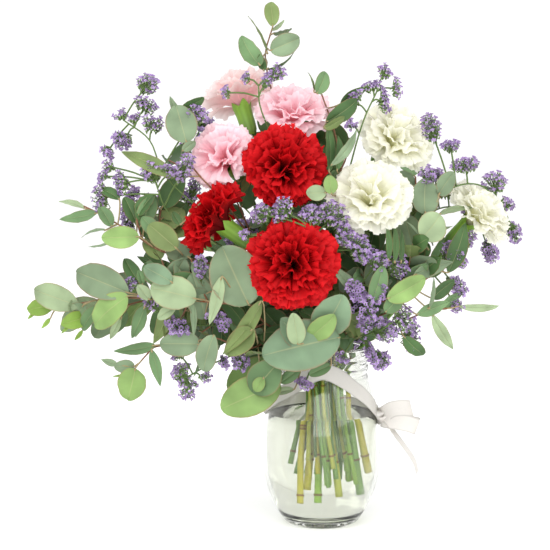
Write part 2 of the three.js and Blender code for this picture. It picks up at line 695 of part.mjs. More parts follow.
// a thin blade that starts as a stalk at joint and is widest between base and tip; roll turns
// it about its midrib away from the viewer; none where the stalk would fold over the blade
function leaf(joint, base, tip, width, roll, grow) {
  const along = tip.clone().sub(base);
  const length = along.length();
  along.normalize();
  const face = VIEWER.clone().addScaledVector(along, -VIEWER.dot(along));
  if (face.length() < 0.1) face.set(0, 0, 1).addScaledVector(along, -along.z);
  face.normalize().applyAxisAngle(along, THREE.MathUtils.degToRad(roll));
  const side = along.clone().cross(face);
  const spot = (l, w) => base.clone().addScaledVector(along, l).addScaledVector(side, w);
  const half = width / 2 + grow;
  const middle = spot(length * LEAF_MIDDLE, 0);
  const stalk = middle.clone().sub(joint);
  const [shoulder, shoulderHalf] = [(LEAF_MIDDLE - LEAF_OUTLINE[0][0]) * length, LEAF_OUTLINE[0][1] * half];
  if (stalk.dot(along) * shoulderHalf < Math.abs(stalk.dot(side)) * shoulder * STALK_MARGIN) return null;
  const left = LEAF_OUTLINE.map(([l, w]) => spot(l * length, w * half));
  const right = LEAF_OUTLINE.map(([l, w]) => spot(l * length, -w * half)).reverse();
  const rim = [joint, ...left, spot(length + grow, 0), ...right];
  const thick = LEAF_THICKNESS / 2 + grow;
  const [above, below] = [thick, -thick].map((d) => middle.clone().addScaledVector(face, d));
  const faces = rim.flatMap((_, i) => {
    const next = (i + 1) % rim.length;
    return [[rim.length, i, next], [rim.length + 1, next, i]];
  });
  return solidOf(facets([...rim, above, below], faces));
}

function eucalyptusItems({ leaves }) {
  return leaves.map(([base, tip, width, roll]) => ({
    near: vec(base),
    make: (joint, grow) => leaf(joint, vec(base), vec(tip), width, roll, grow),
  }));
}

// ---- statice ------------------------------------------------------------------------------

// a fan of florets: a point where it leaves its stem, widest at its middle, blunt at its end
function flowerHead(joint, middle, width, height, grow) {
  const along = middle.clone().sub(joint).normalize();
  const side = new THREE.Vector3(0, 1, 0).cross(along).normalize();
  const front = along.clone().cross(side);
  const out = (direction, size) => middle.clone().addScaledVector(direction, size / 2 + grow);
  const past = width + 4 * grow;
  const around = [out(side, width), out(front, width), out(side, -past), out(front, -past)];
  const faces = [0, 1, 2, 3].flatMap((i) => [[4, (i + 1) % 4, i], [5, i, (i + 1) % 4]]);
  return solidOf(facets([...around, joint, out(along, height)], faces));
}

function staticeItems({ heads }) {
  return heads.map(([at, width, height]) => ({
    near: vec(at),
    make: (joint, grow) => flowerHead(joint, vec(at), width, height, grow),
  }));
}

// ---- sprigs at the back -------------------------------------------------------------------

function atBack(degrees) {
  const turn = THREE.MathUtils.degToRad(degrees);
  return (point) => {
    const mirrored = vec(point).multiply(new THREE.Vector3(1, -1, 1));
    const p = mirrored.applyAxisAngle(new THREE.Vector3(0, 0, 1), turn);
    p.sub(new THREE.Vector3(0, 0, WAIST_HEIGHT)).multiplyScalar(BACK_SCALE);
    return p.add(new THREE.Vector3(0, 0, WAIST_HEIGHT)).toArray();
  };
}

function sprigsAtBack(sprigs, turns, partsName) {
  return Object.fromEntries(Object.entries(turns).map(([name, degrees]) => {
    const move = atBack(degrees);
    const parts = sprigs[name][partsName].map((row) => {
      return row.map((value) => (Array.isArray(value) ? move(value) : value));
    });
    return [`${name}_back`, { stem: sprigs[name].stem.map(move), [partsName]: parts }];
  }));
}

const allEucalyptus = { ...EUCALYPTUS, ...sprigsAtBack(EUCALYPTUS, BACK_EUCALYPTUS, "leaves") };
const allStatice = { ...STATICE, ...sprigsAtBack(STATICE, BACK_STATICE, "heads") };

// ---- putting it together ------------------------------------------------------------------

// each plant: its node, its colour, its stem's sizes, its route above the rim and what it bears
const plants = [
  ...Object.entries(CARNATIONS).map(([name, flower]) => ({
    node: `carnation_${name}_stem`, colour: "calyx", size: CARNATION_STEM, route: carnationRoute(flower),
    items: [{ near: vec(flower.at), make: (joint, grow) => calyx(flower, grow) }],
  })),
  ...Object.entries(allEucalyptus).map(([name, sprig]) => ({
    node: `eucalyptus_${name}`, colour: "leaf", size: EUCALYPTUS_STEM, route: sprig.stem.map(vec),
    items: eucalyptusItems(sprig),
  })),
  ...Object.entries(allStatice).map(([name, sprig]) => ({
    node: `statice_${name}`, colour: "statice", size: STATICE_STEM, route: sprig.stem.map(vec),
    items: staticeItems(sprig),
  })),
];

const STEP_LENGTH = 45; // mm between the rings of a stem
const UNTANGLE_ROUNDS = 4;
const LOWEST_JOINT = 0.45; // shares of the stem between which leaves and heads start
const HIGHEST_JOINT = 0.985;
const JOINT_STEP = 0.03; // between the joints that are tried, as a share of the stem
const JOINT_TRIES = 19;
const GOOD_SHARE = 0.9; // a leaf that keeps this much of its volume is taken at once
const LEAST_SHARE = 0.45; // one that keeps less than this is left out

function growStem(plant, place) {
  const foot = plant.size.foot + FOOT_STEPS[plants.indexOf(plant) % FOOT_STEPS.length];
  const curve = stemCurve(place, foot, plant.route);
  const steps = Math.round(curve.getLength() / STEP_LENGTH);
  const stem = solidOf(tube(curve, plant.size.radius, plant.size.sides, steps));
  const keepOut = solidOf(tube(curve, plant.size.radius + TRIM, plant.size.sides, steps));
  return Object.assign(plant, { place, curve, stem, keepOut });
}

// how much of a stem lies inside other stems
function tangle(plant) {
  const others = plants.filter((other) => other !== plant);
  return others.reduce((sum, other) => sum + plant.stem.intersect(other.keepOut).volume(), 0);
}

// two stems that cross swap places in the waist whenever that leaves less crossing
function untangle() {
  for (const plant of plants) {
    for (const other of plants) {
      if (other === plant || plant.stem.intersect(other.keepOut).volume() === 0) continue;
      const [before, mine, theirs] = [tangle(plant) + tangle(other), plant.place, other.place];
      growStem(plant, theirs);
      growStem(other, mine);
      if (tangle(plant) + tangle(other) < before) continue;
      growStem(plant, mine);
      growStem(other, theirs);
    }
  }
}

const targets = Object.fromEntries(plants.map(({ node, route }) => [node, route[0]]));
const places = assignPlaces(targets);
plants.forEach((plant) => growStem(plant, places[plant.node]));
for (let round = 0; round < UNTANGLE_ROUNDS; round++) untangle();

// what later pieces are cut by, each a little larger than the piece itself
const taken = [];
const finished = []; // the plants' own finished solids
const take = (node, solid) => taken.push({ node, solid, box: solid.boundingBox() });

function boxesMeet(a, b) {
  return [0, 1, 2].every((i) => a.min[i] <= b.max[i] && b.min[i] <= a.max[i]);
}

function clearOfOthers(node, solid) {
  let rest = solid;
  for (const other of taken) {
    if (other.node !== node && boxesMeet(rest.boundingBox(), other.box)) rest = rest.subtract(other.solid);
    if (rest.isEmpty()) return rest;
  }
  for (const other of finished) { // where a thin blade still grazes one
    if (!boxesMeet(rest.boundingBox(), other.boundingBox())) continue;
    if (rest.intersect(other).volume() > 0) rest = rest.subtract(spreadOut(other));
    if (rest.isEmpty()) return rest;
  }
  return rest;
}

// whether any edge of a solid's surface, its corners rounded, isn't shared by just two triangles
function pinched(solid) {
  const { vertProperties, triVerts } = solid.getMesh();
  const corner = (v) => [0, 1, 2].map((k) => Math.round(vertProperties[3 * v + k] / CORNER_STEP)).join();
  const uses = new Map();
  for (let i = 0; i < triVerts.length; i += 3) {
    const corners = [...triVerts.slice(i, i + 3)].map(corner);
    if (new Set(corners).size < 3) continue;
    corners.forEach((a, k) => {
      const edge = [a, corners[(k + 1) % 3]].sort().join(" ");
      uses.set(edge, (uses.get(edge) ?? 0) + 1);
    });
  }
  return [...uses.values()].some((count) => count !== 2);
}

function largest(pieces, size = (piece) => piece.volume()) {
  return pieces.reduce((best, piece) => (size(piece) > size(best) ? piece : best));
}

// places along the upper part of a stem where a stalk could start, nearest first
function jointsNear(curve, point) {
  const spots = [];
  for (let t = LOWEST_JOINT; t < HIGHEST_JOINT; t += JOINT_STEP) spots.push(curve.getPoint(t));
  return spots.sort((a, b) => a.distanceTo(point) - b.distanceTo(point)).slice(0, JOINT_TRIES);
}

// the leaf or head that keeps most of itself once its neighbours are cut from it, still joined
// to its stem
function bestItem({ node, curve, stem }, { near, make }) {
  let best = null;
  for (const joint of jointsNear(curve, near)) {
    const whole = make(joint, 0);
    if (!whole) continue;
    const rest = clearOfOthers(node, whole);
    const joined = rest.decompose().filter((piece) => piece.intersect(stem).volume() > 0);
    if (joined.length === 0) continue;
    const piece = largest(joined);
    const kept = piece.volume() / whole.volume();
    if (!best || kept > best.kept) best = { piece, kept, joint };
    if (kept > GOOD_SHARE) break;
  }
  return best && best.kept > LEAST_SHARE ? best : null;
}

// a solid together with copies of itself moved a little along each axis, both ways
function spreadOut(solid) {
  const moves = [[TRIM, 0, 0], [0, TRIM, 0], [0, 0, TRIM]];
  return moves.reduce((all, [x, y, z]) => {
    return all.add(solid.translate([x, y, z])).add(solid.translate([-x, -y, -z]));
  }, solid);
}

const bouquet = new THREE.Group();

function addPiece(name, solid, colour, { roughness = 0.7, opacity = 1 } = {}) {
  const material = new THREE.MeshStandardMaterial({
    color: COLOURS[colour], roughness, metalness: 0, opacity, transparent: opacity < 1,
  });
  const mesh = new THREE.Mesh(geometryOf(solid), material);
  mesh.name = name;
  bouquet.add(mesh);
}

addPiece("glass_jar", glassJar(), "glass", { roughness: 0.05, opacity: 0.3 });
take("glass_jar", jarKeepOut());
for (const { node, keepOut } of plants) take(node, keepOut);
const wetWater = taken.slice(1).reduce((rest, { solid }) => rest.subtract(solid), water());
const wetSolid = largest(wetWater.decompose()).simplify(SLIVER);
addPiece("water", wetSolid, "water", { roughness: 0.02, opacity: 0.3 });

const ribbonStrip = clearOfOthers("ribbon", ribbon(0)).simplify(SLIVER);
addPiece("ribbon", largest(ribbonStrip.decompose()), "ribbon", { roughness: 0.9 });
take("ribbon", ribbon(TRIM));

for (const [name, flower] of Object.entries(CARNATIONS)) {
  take(`carnation_${name}_stem`, calyx(flower, GAP));
}
for (const [name, flower] of Object.entries(CARNATIONS)) {
  const node = `carnation_${name}_bloom`;
  const petals = clearOfOthers(node, bloom(flower, 0)).decompose();
  addPiece(node, largest(petals).simplify(SLIVER), flower.colour, { roughness: 0.8 });
  take(node, bloom(flower, TRIM));
}
for (const plant of plants) {
  const stemIn = (piece) => piece.intersect(plant.stem).volume();
  let whole = plant.stem;
  for (const item of plant.items) {
    const found = bestItem(plant, item);
    if (!found) continue;
    const grown = whole.add(found.piece);
    if (pinched(grown)) continue;
    whole = grown;
    take(plant.node, item.make(found.joint, TRIM));
  }
  const simpler = largest(whole.simplify(SLIVER).decompose(), stemIn);
  if (!pinched(simpler)) whole = simpler;
  finished.push(whole);
  addPiece(plant.node, whole, plant.colour);
}

export default bouquet;
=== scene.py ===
"""A bouquet of ruffled carnations, eucalyptus and statice in a ribboned glass jar.

Positions and sizes are millimetres unless a comment says otherwise; the meshes are metres.
The jar stands on z = 0 round the origin and -Y faces the viewer.
Pairs under "draws" hold the least and the most of a random value.
"""
import json
import random
from math import atan2, cos, exp, hypot, pi, radians, sin, sqrt, tau

import bpy
from mathutils import Matrix, Vector, noise

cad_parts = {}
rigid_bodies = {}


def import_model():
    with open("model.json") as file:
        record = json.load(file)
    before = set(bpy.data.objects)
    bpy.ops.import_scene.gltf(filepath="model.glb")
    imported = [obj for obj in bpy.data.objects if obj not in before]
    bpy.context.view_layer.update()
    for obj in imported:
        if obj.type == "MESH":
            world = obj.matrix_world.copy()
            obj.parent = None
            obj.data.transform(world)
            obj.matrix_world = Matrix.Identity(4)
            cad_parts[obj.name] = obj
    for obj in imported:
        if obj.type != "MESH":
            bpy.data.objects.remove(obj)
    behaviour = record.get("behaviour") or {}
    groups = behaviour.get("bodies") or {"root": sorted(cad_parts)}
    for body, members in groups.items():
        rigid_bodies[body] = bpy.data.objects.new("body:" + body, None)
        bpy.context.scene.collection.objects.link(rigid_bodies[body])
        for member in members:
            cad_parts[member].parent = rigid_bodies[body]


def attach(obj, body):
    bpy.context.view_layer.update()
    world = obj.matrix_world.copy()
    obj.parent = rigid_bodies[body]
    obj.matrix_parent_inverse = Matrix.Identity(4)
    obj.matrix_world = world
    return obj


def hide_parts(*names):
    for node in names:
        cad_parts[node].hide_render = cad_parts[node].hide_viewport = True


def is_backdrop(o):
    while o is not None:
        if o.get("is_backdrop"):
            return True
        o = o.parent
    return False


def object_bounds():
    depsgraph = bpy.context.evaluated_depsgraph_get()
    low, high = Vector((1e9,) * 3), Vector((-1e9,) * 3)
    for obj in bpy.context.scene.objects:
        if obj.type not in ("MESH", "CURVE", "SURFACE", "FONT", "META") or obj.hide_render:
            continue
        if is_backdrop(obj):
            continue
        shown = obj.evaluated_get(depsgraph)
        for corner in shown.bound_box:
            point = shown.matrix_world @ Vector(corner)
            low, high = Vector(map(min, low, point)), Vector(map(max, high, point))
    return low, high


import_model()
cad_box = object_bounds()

MM = 0.001
UP = Vector((0, 0, 1))
VIEWER = Vector((0, -1, 0))
GOLDEN_ANGLE = radians(137.5)  # from one petal or floret to the next

# ---- the jar, the water and the ribbon ----

# outlines of the jar and the water are (radius, height)
JAR_OUTSIDE = [
    (28, 0), (31, 2.5), (36.7, 11), (41, 19.5), (46.5, 36), (48.5, 56), (48.5, 76),
    (47.5, 86), (42.3, 110), (38.4, 121), (37.5, 124), (37.5, 146),
]
JAR_FOOT = [(0, 1.6), (20, 1.4), (25, 0.2), (27, 0)]
JAR_FLOOR = [(37, 12.5), (33.5, 8.8), (28, 6.5), (20, 6), (0, 5.8)]
JAR_LIP = [(0, 145), (0.6, 145.8), (1.5, 146), (2.4, 145.7), (3, 144.8)]  # (in from the rim, height)
JAR_SEGMENTS = 96
GLASS_WALL = 3
INSIDE_LOW = 19  # where the inner wall starts above the jar's floor
INSIDE_HIGH = 144  # and where it ends below the lip
NECK_LOW = 121  # above this the inner wall is straight
NECK_HEIGHTS = range(125, 145)  # the neck's outside has a row of vertices at each of them
THREAD_HEIGHTS = (129, 136)  # of two ridges, half a turn from their ends
THREAD_SPAN = (124.5, 142)  # between these heights the neck carries the thread
THREAD_DEPTH = 1.2
THREAD_HALF = 1.1  # half a ridge's height
THREAD_PITCH = 2.5  # how far a ridge climbs in a turn
GLASS_IOR = 1.46

WATER_LEVEL = 90
WATER_GAP = 0.25  # between the water and the glass
WATER_WALL_TOP = 86  # above this the water's wall curves up to its edge
WATER_EDGE = [(0, 1.2), (1.2, 0.3), (3, 0)]  # (in from the wall, above the level)
WATER_FLOOR = [(0, 6.1), (20, 6.3), (28, 6.8), (33.2, 9.1), (36.7, 12.8)]
WATER_IOR = 1.33

RIBBON_WIDTH = 13
RIBBON_GAP = 1.1  # between the ribbon and the glass
RIBBON_COLUMNS = 10
RIBBON_CREASE = 0.35  # how deep its creases are
CREASES = 0.06  # how many of them, for each millimetre
# the band climbs to the neck in front and lies on the shoulder elsewhere: (degrees, height)
BAND_HEIGHTS = [(-11, 89), (45, 91), (90, 94), (135, 95), (180, 96), (225, 113), (270, 130),
                (315, 112), (349, 90)]
TAIL = [(78, -17, 44), (75, -17, 54), (67, -18, 66), (58, -17, 78), (52, -16, 87)]
LOOP_HIGH = [(50, -17, 92), (57, -21, 97), (66, -21, 98), (72, -17, 97), (73, -11, 96),
             (67, -7, 95), (58, -8, 93), (50, -11, 90)]
LOOP_LOW = [(50, -18, 88), (60, -22, 87), (70, -22, 85), (77, -18, 82), (78, -12, 82),
            (71, -8, 83), (60, -9, 86), (51, -12, 89)]
WRAP = [(50, -18, 93), (50, -10, 95), (48, -7, 90), (50, -10, 85), (53, -17, 86), (52, -19, 91)]
# the way the ribbon's width points in each of them
TAIL_WIDE = (0.2, 1, 0.15)
HIGH_WIDE = (-0.25, 0.1, 1)
LOW_WIDE = (0.35, 0.1, 1)
WRAP_WIDE = (0.9, 0.2, 0.1)

# ---- stems and carnations ----

SLICE_HEIGHTS = (30, 60, 90, 112, 130, 145)  # where the stems' places are read in the jar
SLICE_REACH = 34  # no stem is farther from the jar's axis there
FOOT_DEPTH = 1.5  # how much of a CAD stem counts as its cut end
FOOT_CLEARANCE = 4  # the least from the cut end to a slice
STEMS = {
    "carnation": {"thick": 2.5, "thin": 1.6, "sides": 10, "ring_every": 9},
    "eucalyptus": {"thick": 1.8, "thin": 0.6, "sides": 7, "ring_every": 11},
    "statice": {"thick": 1.1, "thin": 0.6, "sides": 6},
}
STEM_TAPER = 1.6  # the power that its thickness falls with
BRANCHED = 0.4  # the share of a stem below which it has no branches
STEM_TURNS = (0.35, 0.6)  # the shares of a stem between which its colour changes
# a raised brown ring on a stem: (along the stem, swelling, share of the ring's colour)
STEM_RING_ROWS = [(-1.1, 1, 0), (-0.55, 1.2, 0.8), (0.55, 1.2, 0.8), (1.1, 1.02, 0)]
STEM_BEND = {"back": 20, "drop": 8}  # where a stem turns into its bloom's axis

BLOOM_UNDERSIDE = -0.36  # share of the bloom's radius, from its middle
BLOOM_HEIGHT = 0.62  # share of its radius, from its middle to its top
PETALS = {"red": 44, "pink": 26, "pale": 24, "white": 30}
RUFFLES = {"red": 1.0, "pink": 0.6, "pale": 0.6, "white": 0.55}  # how strongly the edges wave
FANS = {"red": 1.1, "pink": 1.32, "pale": 1.34, "white": 1.36}  # how broad the petals are
PETAL_ROWS = 9
PETAL_COLUMNS = 26
PETAL_LEAN = radians(104)  # from the bloom's axis to its outermost petals
PETAL_CROWDING = 0.72  # under 1, more petals lean outwards
PETAL_BEND = 1.25  # how far a petal's breadth curls round, in radians
# lengths of a petal are shares of its bloom's radius
PETAL_SINK = 0.04  # from the bloom's underside down to its foot
PETAL_TUCK = 0.10  # from the axis to its foot, and how far in its middle is drawn
PETAL_BELLY = 0.34  # how far its middle bulges up
PETAL_DROOP = 0.12  # for each radian past the horizontal
PETAL_FRINGE = 0.05  # the longest of the teeth at its edge
PETAL_HALF = 0.40  # half its breadth
PETAL_NARROWING = 0.12  # how much less an innermost petal has
# draws
PETAL_REACH = (0.92, 1.04)
PETAL_RISE = (0.9, 1.02)
PETAL_BREADTH = (0.9, 1.15)
PETAL_CUP = (0.1, 0.5)
PETAL_WAVES = (1.6, 2.6)  # of its edge
PETAL_RIPPLES = (4.5, 6.5)  # finer ones
PETAL_SWING = (0.09, 0.15)
PETAL_TONE = (0.90, 1.06)

CALYX_RADIUS = 6.6
CALYX_LENGTH = 26
CALYX_SIDES = 20
CALYX_TEETH = 5
# (share of its radius, share of its length below its top)
CALYX_PROFILE = [(0.32, 1.0), (0.70, 0.95), (0.92, 0.82), (1.0, 0.55), (1.02, 0.3), (1.08, 0.1)]
TOOTH_FOOT = 1.5  # below the calyx's top
TOOTH_HEIGHT = 5.5
BRACTS = 4
BRACT_LENGTH = 8
BRACT_OUTLINE = [(0.0, 2.2), (0.35, 2.8), (0.7, 1.6), (1.0, 0.1)]  # (share of its length, half its width)

# ---- leaves and statice heads ----

# across a blade: the share of its half width, and how much it takes of the margin's and the
# midrib's colour
BLADE_ACROSS = [
    (-1, 0.9, 0), (-0.96, 0.3, 0), (-0.88, 0, 0), (-0.45, 0, 0), (-0.05, 0, 0), (0, 0, 0.55),
    (0.05, 0, 0), (0.45, 0, 0), (0.88, 0, 0), (0.96, 0.3, 0), (1, 0.9, 0),
]
BLADE_ROWS = 12
BLADE_FOOT = 0.35  # half its width at its foot
BLADE_TIP = 0.12
SLENDER = 0.4  # a blade whose width is less than this share of its length has a pointed outline
POINTED = (0.85, 0.8)  # the powers that shape an outline
ROUND = (0.52, 0.9)
LEAF_BREADTH = 1.12  # of a round blade, as a share of the width in the table
RIB_DEPTH = 0.25
STALK_RADIUS = 0.65
STALK_SAG = 0.04  # share of its length
# draws
LEAF_ROLL = (-6, 6)  # degrees
LEAF_TONE = (0.88, 1.14)
BLADE_ARCH = (0.03, 0.12)  # share of its length
BLADE_FOLD = (0.05, 0.22)  # share of its half width
BLADE_WAVE = (0.01, 0.05)  # share of its width

# twigs that run hidden inside the bouquet
# mostly dark: real leaves, darkened as painted shade for the deep shadow inside the bouquet
INNER_LEAF_AND_SHADE_TONES = ["dark", "dark", "green", "olive", "dark", "grey"]
INNER_SPACING = 15  # between the twigs along a stem
INNER_MIDDLE = Vector((-30, 0, 242))
INNER_REACH = (122, 100)  # how far to the side and up or down from there their leaves are
INNER_FRONT = -88  # and how far to the front and the back
INNER_BACK = 104
TWIG_STEPS = 4
TWIG_STEP = 9  # from one node of a twig to the next
TWIG_RADIUS = 0.7
TWIG_SIDES = 5
# draws
TWIG_LEAF = (18, 32)
TWIG_BREADTH = (0.5, 0.85)  # share of a leaf's length
TWIG_ROLL = (-50, 50)  # degrees
TWIG_RAKE = (0.4, 1.0)  # how far a leaf leans along its twig

FLORET_LOBES = 5
LOBE_REACH = 0.95  # shares of the floret's size, as in FLORET_RINGS
NOTCH_REACH = 0.68
HEAD_FLORETS = (14, 60)  # the least and the most in a head
FLORET_AREA = 5  # square millimetres of a head for each
FLORET_STALK = 0.35  # its radius
FLORET_STALK_SIDES = 4
# draws
FLORET_SIZE = (1.6, 2.6)
FLORET_TONE = (0.8, 1.25)
LOBE_HEIGHT = (0.28, 0.62)

# ---- colours, linear red, green and blue ----

# each petal runs from its base colour through its body colour to its edge colour: the darker base is
# partly the flower's own deeper tint and partly painted shade in the creases at the bloom's middle, and
# the lighter edge is a painted highlight on the ruffles
PETAL_COLOURS = {
    "red": {"base_tint_and_crease_shade": (0.15, 0.000, 0.001), "body": (0.49, 0.001, 0.004), "edge": (0.62, 0.004, 0.008)},
    "pink": {"base_tint_and_crease_shade": (0.99, 0.50, 0.57), "body": (1.0, 0.73, 0.78), "edge": (1.0, 0.80, 0.84)},
    "pale": {"base_tint_and_crease_shade": (0.98, 0.66, 0.67), "body": (0.99, 0.82, 0.81), "edge": (0.99, 0.87, 0.86)},
    "white": {"base_tint_and_crease_shade": (0.93, 0.925, 0.66), "body": (0.935, 0.93, 0.82), "edge": (0.945, 0.94, 0.85)},
}
LEAF_COLOURS = {
    "olive": (0.15, 0.205, 0.07), "pale": (0.28, 0.36, 0.205), "grey": (0.185, 0.255, 0.15),
    "green": (0.12, 0.205, 0.09), "dark": (0.06, 0.12, 0.04), "bright": (0.20, 0.31, 0.10),
    "lime": (0.20, 0.32, 0.06), "blue": (0.165, 0.25, 0.15),
}
COLOURLESS = (1, 1, 1)
GLASS_TINT = (0.90, 0.91, 0.875)
WATER_TINT = (0.83, 0.84, 0.775)
RIBBON_CREAM = (0.76, 0.73, 0.69)
# darker at both edges of the strip, and painted shade in its creases
RIBBON_DARK_EDGE_AND_CREASE_SHADE = (0.50, 0.48, 0.45)
LEAF_MARGIN = (0.30, 0.12, 0.07)
LEAF_MIDRIB = (0.42, 0.40, 0.20)
WOOD = (0.23, 0.11, 0.06)
CALYX_GREEN = (0.18, 0.34, 0.04)
STEM_GREEN = (0.13, 0.24, 0.05)
STEM_FEET = [(0.66, 0.60, 0.07), (0.36, 0.60, 0.10), (0.56, 0.60, 0.11), (0.26, 0.46, 0.12)]
STEM_RING = (0.22, 0.07, 0.02)
STATICE_GREEN = (0.12, 0.19, 0.06)
STATICE_PURPLE = (0.33, 0.21, 0.46)
STATICE_PALE = (0.58, 0.50, 0.64)
# a floret from its sheath to its funnel: (radius, height, colour, brightness)
FLORET_RINGS = [
    (0.14, -1.3, STATICE_GREEN, 1), (0.32, -0.45, STATICE_GREEN, 1.5),
    (0.36, -0.05, STATICE_PALE, 1), (0.58, 0.28, STATICE_PURPLE, 1),
]
FLOOR_COLOUR = (0.97, 0.97, 0.965)
# the materials that show their mesh's tones:
# (roughness, share of the light that passes through, strength of the grain, its scale)
TONED = {
    "red petals": (0.7, 0.25, 0.05, 180),
    "pale petals": (0.8, 0.5, 0.03, 180),
    "eucalyptus leaves": (0.55, 0.12, 0.16, 60),
    "stems": (0.5, 0, 0.12, 120),
    "statice": (0.8, 0.2, 0.10, 200),
    "sheer ribbon": (0.6, 0.3, 0.04, 900),
}

# ---- floor, light and camera ----

CAMERA_TARGET = Vector((-38.3, 0, 204.3))
CAMERA_DISTANCE = 1250
CAMERA_PITCH = radians(5)
LENS = 100
SENSOR = 36
FLOOR_REACH = 40.0  # metres
BACKDROP_STRENGTH = 1.08
LIGHT_TARGET = (0, 0, 0.2)  # metres
# each lamp: its place in metres, its watts and its side in metres
LIGHTS = {
    "key": ((-0.9, -1.4, 1.7), 22, 1.1),
    "fill": ((1.3, -1.2, 0.9), 10, 1.2),
    "front": ((0, -2.2, 0.5), 16, 1.4),
    "back": ((-0.9, 1.7, 1.8), 7, 1.4),
}

# ---- where everything is ----

# each bloom: its middle, its radius, the way it faces and its colours
CARNATIONS = {
    "red_1": ((-31, -70, 294), 34, (0.25, -0.85, 0.45), "red"),
    "red_2": ((-85, -72, 254), 31, (-0.8, 0.1, 0.55), "red"),
    "red_3": ((-25, -97, 222), 35, (0.05, -0.96, 0.25), "red"),
    "pink_1": ((-68, -5, 350), 30, (-0.3, 0.4, 0.9), "pale"),
    "pink_2": ((-24, -35, 336), 31, (0.05, -0.45, 0.9), "pink"),
    "pink_3": ((-79, -52, 302), 29, (-0.4, -0.75, 0.5), "pink"),
    "white_1": ((58, -30, 316), 32, (0.4, -0.7, 0.55), "white"),
    "white_2": ((35, -72, 271), 33, (0, -0.75, 0.65), "white"),
    "white_3": ((124, -30, 256), 30, (0.65, -0.3, 0.7), "white"),
}

# sprigs that are seen again at the back: the degrees that the mirrored copy is turned
BACK_SCALE = 0.88
BACK_SCALE_CENTRE = Vector((0, 0, 112))
BACK_EUCALYPTUS = {
    "left_bunch": 12, "left": -30, "centre_left": -16, "right": 14, "right_high": -9,
    "top_right": 20, "front_left": 10,
}
BACK_STATICE = {"left": 14, "left_high": -26, "right_edge": -12, "centre": 18, "front_right": 8}

# the points of each sprig's stem above the rim
EUCALYPTUS_STEMS = {
    "top": [(-20, 0, 270), (-34, 4, 330), (-44, -8, 366), (-46, -16, 383), (-41, -22, 401)],
    "top_right": [(12, -34, 241), (14, -34, 291), (8, -40, 322), (-2, -46, 350)],
    "left_high": [(-50, -46, 228), (-79, -65, 268), (-105, -64, 299), (-111, -53, 336)],
    "left": [
        (-54, -53, 205), (-104, -67, 223), (-127, -66, 229), (-151, -56, 243), (-176, -40, 256),
        (-190, -32, 262),
    ],
    "left_bunch": [
        (-48, -48, 172), (-93, -63, 186), (-136, -61, 191), (-168, -46, 190), (-194, -29, 184),
        (-216, -14, 178),
    ],
    "left_low": [
        (-36, -40, 159), (-72, -55, 160), (-109, -57, 154), (-133, -53, 152), (-140, -48, 145),
        (-150, -40, 133),
    ],
    "centre_left": [
        (-24, -44, 158), (-46, -70, 173), (-59, -88, 190), (-79, -86, 190), (-96, -81, 191),
        (-111, -76, 189),
    ],
    "front_left": [(-14, -36, 157), (-38, -62, 160), (-61, -72, 153), (-85, -74, 162), (-97, -71, 158)],
    "front_right": [(-3, -34, 158), (3, -62, 160), (6, -81, 162), (4, -90, 176)],
    "right_high": [(29, -45, 188), (56, -60, 219), (75, -63, 240), (86, -57, 263), (96, -48, 278)],
    "right": [(28, -24, 180), (50, -60, 190), (65, -65, 198), (85, -60, 210), (99, -55, 217)],
    "right_low": [(16, -32, 157), (43, -58, 168), (66, -65, 176), (79, -64, 181), (100, -52, 183)],
}
